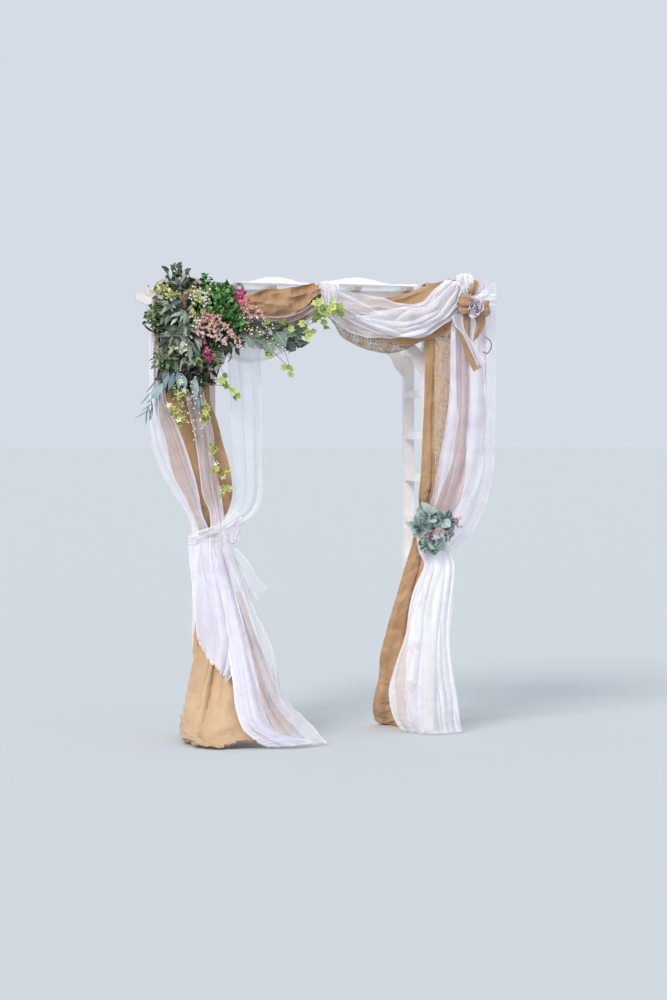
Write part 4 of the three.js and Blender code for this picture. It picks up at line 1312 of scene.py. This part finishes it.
def whorl(bunch, place, axis, shape, count, size, width=1.5, drop=0.0, rise=0.8):
    """Leaves round one point, the inner ones standing up along the axis."""
    rng = bunch.rng
    axis = unit(np.asarray(axis, float))
    flat_way = unit(np.cross(axis, (0.2, 0.1, 1)))
    for leaf in range(count):
        turn = leaf * LEAF_TO_LEAF
        around = flat_way * math.cos(turn) + np.cross(axis, flat_way) * math.sin(turn)
        along = around * rng.uniform(0.7, 1.1) + axis * (0.15 + rise * leaf / count) - (0, 0, drop)
        start = np.asarray(place) + rng.normal(size=3) * 6
        bunch.add(shape, start, along, axis + rng.normal(size=3) * 0.4, size * rng.uniform(0.7, 1.15),
                  width=width * rng.uniform(0.8, 1.15))


def dress_stem(bunch, line, shape, count, size, angle=0.9, spread=0.5, start=0.1, face=(0, -1, 0.3),
               width=1.0):
    """Leaves along a stem, by turns on its two sides, smaller towards its tip."""
    places = np.linspace(start, 1, count)
    path = curve_through(np.asarray(line, float), places)
    ahead = unit(np.gradient(path, axis=0)) if count > 1 else unit(np.diff(line, axis=0)[:1])
    rng = bunch.rng
    for k, (place, forward) in enumerate(zip(path, ahead)):
        side = unit(np.cross(forward, face)) * (1 if k % 2 else -1)
        along = forward + side * angle + rng.normal(size=3) * spread * 0.4
        length = size[0] + (size[1] - size[0]) * places[k]
        bunch.add(shape, place, along, np.asarray(face) + rng.normal(size=3) * spread * 0.6,
                  length * rng.uniform(0.85, 1.15), width=width * rng.uniform(0.85, 1.15))


def lone_leaves(bunch, leaves, tilt, width):
    """Long leaves one by one, each with its place, its way and its length, that look about forwards."""
    for place, along, length in leaves:
        face = bunch.rng.normal(size=3) * tilt + (0, -1, 0.3)
        bunch.add(LANCE, place, along, face, length, width=width)


def strew(bunch, middle, spread, count, size, face=(0.1, -1, 0.1), closeness=0.7):
    """Five-petalled flowers strewn about a point; size is one length, or the least and the most."""
    rng = bunch.rng
    for _ in range(count):
        place = np.array(middle) + rng.normal(size=3) * spread * closeness
        along = rng.normal(size=3)
        length = rng.uniform(*size) if isinstance(size, tuple) else size
        bunch.add(FIVE_PETALS, place, along, face, length)


def plume(bunch, line, count, width, size, stalk=STALK):
    """A branching spray of tiny buds on a stalk, wide at its foot and pointed and paler at its tip."""
    twigs.add_tube(line, *stalk)
    rng = bunch.rng
    sprigs = max(6, count // 12)
    starts = rng.uniform(0, 1, sprigs) ** 0.7
    path = curve_through(np.asarray(line, float), starts)
    ahead = unit(np.subtract(line[-1], line[0]))
    ways = unit(unit(rng.normal(size=(sprigs, 3))) + 0.8 * ahead)
    for _ in range(count):
        sprig = rng.integers(sprigs)
        fullness = (0.45 + 1.1 * starts[sprig]) * (1.08 - 0.85 * starts[sprig])
        far = width * 1.35 * fullness * rng.uniform(0, 1)
        place = path[sprig] + ways[sprig] * far + rng.normal(size=3) * width * 0.08
        bunch.add(BUD, place, ways[sprig], rng.normal(size=3), rng.uniform(*size),
                  shade=0.45 * starts[sprig] + 0.25 * far / width + rng.uniform(0, 0.4))


def berry_spray(berries, line, count, spread, size):
    """Berries on short stalks along a twig."""
    rng = berries.rng
    twigs.add_tube(line, *STALK)
    for place in curve_through(np.asarray(line, float), rng.uniform(0.05, 1, count)):
        end = place + rng.normal(size=3) * spread
        twigs.add_tube([place, (place + end) / 2 + (0, 0, 3), end], 0.7, 0.6, sides=3, steps=4)
        berries.add(BERRY, end, (1, 0, 0), (0, 0, 1), rng.uniform(*size))


CORNER_LUMPS = [
    ((-700, -395, 2090), (130, 75, 130)),
    ((-550, -400, 2080), (130, 80, 130)),
    ((-772, -372, 1990), (84, 60, 92)),
    ((-640, -398, 1900), (130, 80, 140)),
    ((-490, -390, 1930), (115, 66, 115)),
    ((-720, -372, 1750), (100, 62, 130)),
    ((-600, -375, 1770), (95, 60, 115)),
]
# A filling of dark leaves deep in the corner bunch, coloured darker than real leaves as painted shade
dark = Bunch(101)
for lump in CORNER_LUMPS:
    cover(dark, lump, LANCE, 90, (40, 80), reach=(0.45, 0.9), width=1.4)
dark.make("corner_dark_leaves", LEAF_DARK_AND_SHADED, replaced=["corner_flowers"])

green = Bunch(102)
for lump, count in [(((-536, -420, 2064), (112, 72, 104)), 400), (((-462, -410, 2000), (62, 58, 84)), 130),
                    (((-584, -400, 2172), (20, 24, 38)), 26)]:
    cover(green, lump, ROUND_LEAF, count, (20, 32), outward=0.9, reach=(0.8, 1.05))
green.make("corner_green_leaves", LEAF_GREEN)

grey = Bunch(103)
for line, count in [
        ([(-696, -400, 2100), (-722, -410, 2160), (-756, -405, 2228)], 9),
        ([(-686, -400, 2120), (-706, -410, 2180), (-728, -400, 2240)], 8),
        ([(-680, -400, 2120), (-684, -405, 2170), (-690, -400, 2215)], 7),
        ([(-720, -420, 2060), (-770, -440, 2080), (-820, -440, 2110)], 8),
        ([(-660, -430, 2020), (-720, -460, 2040), (-790, -455, 2010)], 9),
        ([(-650, -430, 2000), (-690, -465, 2060), (-700, -460, 2110)], 7),
        ([(-640, -430, 2040), (-620, -470, 2000), (-600, -465, 1950)], 7),
        ([(-690, -430, 1960), (-740, -460, 1930), (-800, -440, 1880)], 8),
        ([(-640, -430, 1950), (-650, -470, 1880), (-640, -460, 1800)], 8),
        ([(-700, -420, 1860), (-740, -450, 1800), (-770, -430, 1740)], 7)]:
    twigs.add_tube(line, 2.2, 1.2)
    dress_stem(grey, line, LANCE, round(1.2 * count), (76, 48), start=0.2, spread=0.8, width=1.6)
grey.make("corner_grey_leaves", LEAF_GREY)

felt = Bunch(104)
for place, leaves, size, drop in [
        ((-715, -460, 2150), 9, 56, 0.1), ((-760, -455, 2070), 10, 60, 0.5),
        ((-700, -478, 2030), 9, 56, 0.5), ((-690, -480, 1975), 10, 60, 0.7),
        ((-740, -462, 1925), 10, 64, 0.7), ((-668, -480, 1890), 11, 70, 0.8),
        ((-690, -470, 1820), 8, 56, 0.9)]:
    axis = np.array([0, -1, 0.15]) + felt.rng.normal(size=3) * 0.5
    whorl(felt, place, axis, LANCE, leaves, size, width=1.4, drop=drop)
felt.make("felted_leaves", LEAF_FELT)

pale = Bunch(118)
lone_leaves(
    pale,
    [
        ((-755, -440, 2185), (-0.1, -0.1, 1), 52), ((-735, -445, 2160), (0.5, -0.2, 0.8), 46),
        ((-700, -445, 2190), (0.2, -0.1, 1), 44), ((-790, -450, 2090), (-0.8, -0.2, 0.5), 50),
        ((-660, -485, 1975), (0.7, -0.3, -0.6), 60), ((-700, -485, 1905), (-0.3, -0.3, -0.9), 66),
        ((-672, -490, 1865), (0.2, -0.3, -1), 70), ((-725, -475, 2005), (-0.7, -0.3, -0.5), 54),
        ((-650, -488, 1900), (0.6, -0.3, -0.7), 56), ((-745, -468, 1870), (-0.5, -0.3, -0.7), 50),
    ],
    tilt=0.3, width=1.4)
pale.make("pale_leaf_undersides", LEAF_PALE)

blue = Bunch(105)
lone_leaves(
    blue,
    [
        ((-770, -430, 1770), (-0.3, -0.2, -0.9), 84), ((-725, -445, 1755), (0.1, -0.2, -1), 88),
        ((-745, -440, 1760), (-0.1, -0.2, -1), 96), ((-700, -442, 1740), (0.2, -0.2, -1), 74),
        ((-640, -430, 1730), (-0.1, -0.2, -1), 104), ((-620, -430, 1640), (0.2, -0.2, -1), 80),
        ((-790, -430, 1700), (-0.5, -0.2, -0.8), 80),
    ],
    tilt=0.35, width=1.6)
for line in [[(-790, -370, 1760), (-830, -385, 1690), (-850, -385, 1600), (-862, -380, 1560)],
             [(-790, -370, 1740), (-815, -385, 1660), (-840, -385, 1590)]]:
    dress_stem(blue, line, NARROW, 9, (90, 70), angle=0.35)
blue.make("blue_grey_leaves", LEAF_BLUE)

lobed = Bunch(117)
for line, count, size in [
        ([(-400, -410, 1980), (-300, -430, 1962), (-210, -430, 1950), (-140, -420, 1930)], 9, (84, 78)),
        ([(-420, -420, 1955), (-330, -440, 1925), (-250, -430, 1905), (-190, -425, 1895)], 9, (86, 80)),
        ([(-440, -420, 1950), (-370, -440, 1915), (-310, -430, 1900)], 6, (76, 70)),
        ([(-300, -425, 1960), (-220, -445, 1930), (-160, -435, 1905)], 6, (90, 86))]:
    twigs.add_tube(line, 2.2, 1.2)
    dress_stem(lobed, line, LOBED, count, size, angle=0.6, spread=0.9)
lobed.make("lobed_leaves", LEAF_LOBED)

spring = Bunch(106)
for place, radius, count in [((-816, -400, 2014), 60, 110), ((-790, -400, 1982), 46, 60),
                             ((-785, -420, 1810), 58, 90), ((-640, -450, 1820), 52, 70),
                             ((-690, -450, 1960), 48, 50), ((-770, -410, 2070), 44, 50),
                             ((-560, -440, 1840), 46, 60), ((-730, -440, 1870), 48, 60)]:
    cover(spring, (place, (radius, radius * 0.8, radius)), OVAL, count, (18, 30), outward=1.1,
          reach=(0.7, 1.0))
spring.make("corner_spring_leaves", LEAF_SPRING)

lime = Bunch(107)
vine = [(-330, -420, 1960), (-230, -435, 1965), (-140, -430, 1960), (-60, -425, 2000), (0, -415, 2050),
        (60, -405, 2070)]
twigs.add_tube(vine, 2.0, 1.2, steps=40)
VINE_LEAVES = [(-300, 1990, 26), (-280, 1968, 24), (-205, 1978, 26), (-185, 1962, 22), (-132, 1982, 26),
               (-108, 1950, 22), (-96, 1918, 24), (-80, 1944, 20), (-66, 2086, 30), (-40, 2076, 26),
               (-52, 2004, 24), (-32, 2026, 30), (-16, 2040, 28), (0, 2052, 30), (22, 2040, 24),
               (36, 2062, 28), (52, 2054, 26), (70, 2046, 22), (-14, 1992, 22), (-22, 1968, 20),
               (26, 2090, 20), (-190, 1756, 26), (-176, 1770, 20), (-292, 1848, 24), (-276, 1836, 22),
               (-450, 1660, 24), (-440, 1640, 22), (-520, 1700, 26), (-500, 1680, 22), (-506, 1730, 22)]
for x, z, size in VINE_LEAVES:
    for _ in range(2):
        shift = lime.rng.normal(size=3) * (9, 8, 9)
        face = np.array([0, -1, 0.2]) + lime.rng.normal(size=3) * 0.45
        turn = lime.rng.uniform(0, TURN)
        lime.add(IVY, np.array([x, -432, z]) + shift, (math.cos(turn), 0, math.sin(turn)), face, size)
lime.make("lime_vine_leaves", LEAF_LIME)
for line in [[(-330, -425, 1880), (-260, -435, 1840), (-180, -425, 1765)],
             [(-300, -425, 1900), (-220, -435, 1860), (-190, -430, 1790)],
             [(-600, -425, 1775), (-560, -440, 1785), (-520, -440, 1775), (-490, -440, 1690)],
             [(-600, -425, 1700), (-540, -440, 1690), (-480, -440, 1680), (-450, -440, 1650)]]:
    twigs.add_tube(line, 1.8, 1.0)

blush = Bunch(108)
HEATHER_FOOT = (-592, -478, 2045)
for tip, buds, width in [((-640, -490, 1925), 260, 26), ((-612, -494, 1915), 220, 22),
                         ((-575, -498, 1900), 260, 26), ((-545, -498, 1905), 230, 24),
                         ((-505, -494, 1880), 260, 25), ((-470, -490, 1900), 200, 22),
                         ((-430, -484, 1868), 230, 22), ((-405, -474, 1862), 170, 18)]:
    middle = (np.array(HEATHER_FOOT) + tip) / 2 + (0, -10, 14)
    plume(blush, [HEATHER_FOOT, tuple(middle), tip], buds, width, (2.4, 4.6))
for line in [[(-440, -450, 2090), (-380, -455, 2062), (-322, -445, 2022)],
             [(-440, -450, 2075), (-380, -456, 2048), (-300, -440, 2004)],
             [(-440, -450, 2060), (-390, -456, 2030), (-330, -445, 2000)]]:
    plume(blush, line, 200, 22, (2.4, 4.4))
blush.make("blush_sprays", BLUSH)

magenta = Bunch(109)
for middle, spread, count in [
        ((-428, -455, 2108), (24, 12, 18), 24), ((-592, -480, 1850), (12, 10, 18), 11),
        ((-574, -478, 1812), (12, 10, 12), 8), ((-602, -482, 1895), (6, 6, 8), 3)]:
    strew(magenta, middle, spread, count, 12, face=(0, -1, 0.2))
magenta.make("magenta_flowers", MAGENTA)

thistle = Bunch(110)
for _ in range(260):
    out = unit(thistle.rng.normal(size=3))
    thistle.add(NARROW, np.array([-430, -440, 2150]) + out * 12, out, thistle.rng.normal(size=3), 14)
thistle.make("thistle_ball", LEAF_GREY)

cream = Bunch(111)
for line, count in [
        ([(-470, -440, 2010), (-400, -455, 2010), (-320, -450, 1980), (-270, -445, 1950)], 34),
        ([(-450, -440, 1990), (-380, -455, 1970), (-300, -450, 1920), (-220, -440, 1860)], 34),
        ([(-420, -440, 1960), (-350, -450, 1930), (-270, -445, 1890), (-230, -440, 1850)], 22),
        ([(-680, -440, 2000), (-670, -470, 1960), (-680, -470, 1910)], 22),
        ([(-720, -430, 1800), (-710, -440, 1700), (-690, -420, 1600), (-660, -400, 1500)], 30),
        ([(-680, -430, 1790), (-660, -440, 1660), (-640, -410, 1540), (-620, -380, 1400)], 34),
        ([(-640, -430, 1760), (-620, -435, 1640), (-600, -400, 1520), (-580, -370, 1400)], 26)]:
    berry_spray(cream, line, count, 9, (3.4, 5.0))
cream.make("cream_berries", CREAM)

seeds = Bunch(112)
for line in [[(-700, -480, 2060), (-690, -490, 2100), (-670, -485, 2130)],
             [(-690, -480, 2030), (-700, -495, 2065), (-720, -485, 2112)]]:
    plume(seeds, line, 100, 26, (2.6, 4.8))
seeds.make("seed_sprays", SEED)

yellow = Bunch(113)
for middle, spread, count, size in [
        ((-805, -450, 2138), (26, 14, 16), 40, 9), ((-760, -476, 2112), (22, 10, 14), 34, 9),
        ((-642, -476, 2124), (40, 12, 18), 50, 8), ((-615, -486, 2085), (26, 10, 18), 20, 8),
        ((-660, -490, 2020), (18, 8, 18), 22, 7), ((-700, -488, 1850), (22, 8, 18), 20, 8),
        ((-720, -445, 1660), (20, 12, 34), 12, 17), ((-750, -425, 1570), (20, 10, 18), 9, 18),
        ((-725, -415, 1525), (20, 10, 16), 8, 18), ((-700, -420, 1600), (24, 10, 30), 6, 15),
        ((-600, -420, 1570), (18, 10, 22), 10, 18), ((-590, -410, 1530), (16, 10, 16), 8, 17)]:
    strew(yellow, middle, spread, count, size)
yellow.make("yellow_green_flowers", YELLOW)

white = Bunch(120)
for middle, spread, count in [
        ((-636, -482, 2120), (42, 10, 20), 60), ((-606, -490, 2085), (24, 8, 18), 30),
        ((-640, -495, 1990), (16, 8, 16), 14), ((-706, -492, 1858), (22, 8, 20), 16),
        ((-655, -480, 1800), (20, 8, 18), 12)]:
    strew(white, middle, spread, count, (5, 8))
white.make("cream_flowers", WHITE)

sprig = Bunch(114)
for middle, count in [((-545, -350, 1385), 5), ((-530, -350, 1290), 8), ((-495, -350, 1270), 8),
                      ((-475, -350, 1190), 8), ((-505, -350, 1180), 4)]:
    strew(sprig, middle, (12, 6, 14), count, 16, closeness=1)
sprig.make("drape_sprig_flowers", YELLOW, replaced=["drape_sprig"])
twigs.add_tube([(-545, -345, 1400), (-530, -350, 1330), (-500, -350, 1260), (-480, -348, 1190)], 1.8, 1.0)

fringe = Bunch(119)
hem_middle = left_hem.mean(axis=0)
for start in curve_through(left_hem, fringe.rng.uniform(0, 1, 170)):
    out = unit((start - hem_middle) * (1, 1, 0)) + fringe.rng.normal(size=3) * (0.5, 0.5, 0)
    length = fringe.rng.uniform(3, 13)
    end = start + out * length
    end[2] = start[2] + fringe.rng.uniform(0, 4)
    fringe.add_tube([start - out * 6, (start + end) / 2 + (0, 0, fringe.rng.uniform(0, 3)), end], 0.7, 0.4,
                    sides=3, steps=5)
fringe.make("burlap_hem_threads", JUTE)

rosette = Bunch(115)
TIE_LUMPS = [((490, -330, 1040), (70, 40, 62)), ((575, -330, 1020), (62, 36, 54)),
             ((530, -334, 935), (58, 34, 46))]
for lump in TIE_LUMPS:
    cover(rosette, lump, SPOON, 30, (38, 56), outward=1.3, reach=(0.4, 0.95), width=1.25)
for place, axis, leaves, size in [
        ((500, -366, 1058), (-0.25, -1, 0.25), 18, 66), ((575, -362, 1034), (0.35, -1, 0.2), 15, 62),
        ((462, -354, 1000), (-0.5, -1, -0.3), 12, 56), ((545, -356, 944), (0.1, -1, -0.5), 13, 58),
        ((525, -378, 1000), (0, -1, 0), 10, 50), ((600, -350, 980), (0.7, -1, -0.2), 9, 50)]:
    whorl(rosette, place, axis, SPOON, leaves, size, width=1.2, rise=1.0)
rosette.make("tie_back_leaves", LEAF_ROUND, replaced=["tie_back_flowers"])
pink = Bunch(116)
for line in [[(505, -385, 1000), (530, -398, 985), (560, -392, 995)],
             [(485, -380, 975), (510, -395, 955), (545, -390, 945)],
             [(560, -385, 1010), (585, -392, 990), (600, -385, 960)],
             [(590, -370, 1040), (625, -375, 1050), (668, -365, 1048)],
             [(590, -370, 1025), (630, -375, 1020), (672, -365, 1010)]]:
    plume(pink, line, 140, 19, (1.7, 3.3), stalk=(1.4, 0.8))
pink.make("tie_back_pink", PINK)

twigs.add_tube([(-700, -430, 2200), (-680, -440, 2195), (-660, -440, 2150), (-650, -440, 2110)], 2.4, 1.6)
twigs.add_tube([(784, -385, 1930), (810, -390, 1908), (812, -390, 1876), (794, -388, 1850),
                (772, -384, 1858)], 2.2, 2.2)
twigs.make("stems_and_twigs", TWIG)


# Floor, light and camera

FLOOR_HALF_SIDE = 400.0
FLOOR_TONE = (202, 206, 208)
BACKDROP_TONE = (213, 220, 230)
KEY_DIRECTION = (0.6, 0.7, -0.7)
KEY_STRENGTH = 2.1
KEY_SPREAD = math.radians(25)
KEY_TINT = (1.0, 0.985, 0.96)
CAMERA_PLACE = (-2.164, -11.489, 1.43)
CAMERA_HEADING = math.radians(11.2)
CAMERA_PITCH = math.radians(1.456)
LENS = 85
FILM_HEIGHT = 36
MOST_LAYERS_SEEN_THROUGH = 24

floor_mesh = bpy.data.meshes.new("studio_floor")
fill_mesh(floor_mesh, [(x * FLOOR_HALF_SIDE, y * FLOOR_HALF_SIDE, 0)
                       for x, y in ((-1, -1), (1, -1), (1, 1), (-1, 1))], [(0, 1, 2, 3)])
floor_mesh.materials.append(Finish("studio_floor", Base_Color=tone(*FLOOR_TONE), Roughness=0.9).material)
floor = bpy.data.objects.new("studio_floor", floor_mesh)
bpy.context.scene.collection.objects.link(floor)

key_data = bpy.data.lights.new("soft_key", "SUN")
key_data.energy = KEY_STRENGTH
key_data.angle = KEY_SPREAD
key_data.color = KEY_TINT
key = bpy.data.objects.new("soft_key", key_data)
key.rotation_euler = Vector(KEY_DIRECTION).to_track_quat("-Z", "Y").to_euler()
bpy.context.scene.collection.objects.link(key)

world = bpy.data.worlds.new("studio")
world.use_nodes = True
world.node_tree.nodes["Background"].inputs["Color"].default_value = tone(*BACKDROP_TONE)
world.node_tree.nodes["Background"].inputs["Strength"].default_value = 1.0
bpy.context.scene.world = world
bpy.context.scene.view_settings.view_transform = "Standard"
bpy.context.scene.cycles.transparent_max_bounces = MOST_LAYERS_SEEN_THROUGH

camera_data = bpy.data.cameras.new("camera")
camera_data.lens = LENS
camera_data.sensor_fit = "VERTICAL"
camera_data.sensor_height = FILM_HEIGHT
camera = bpy.data.objects.new("camera", camera_data)
camera.location = np.array(CAMERA_PLACE) + FRAME_MIDDLE
camera.rotation_euler = (math.pi / 2 - CAMERA_PITCH, 0, -CAMERA_HEADING)
bpy.context.scene.collection.objects.link(camera)
bpy.context.scene.camera = camera
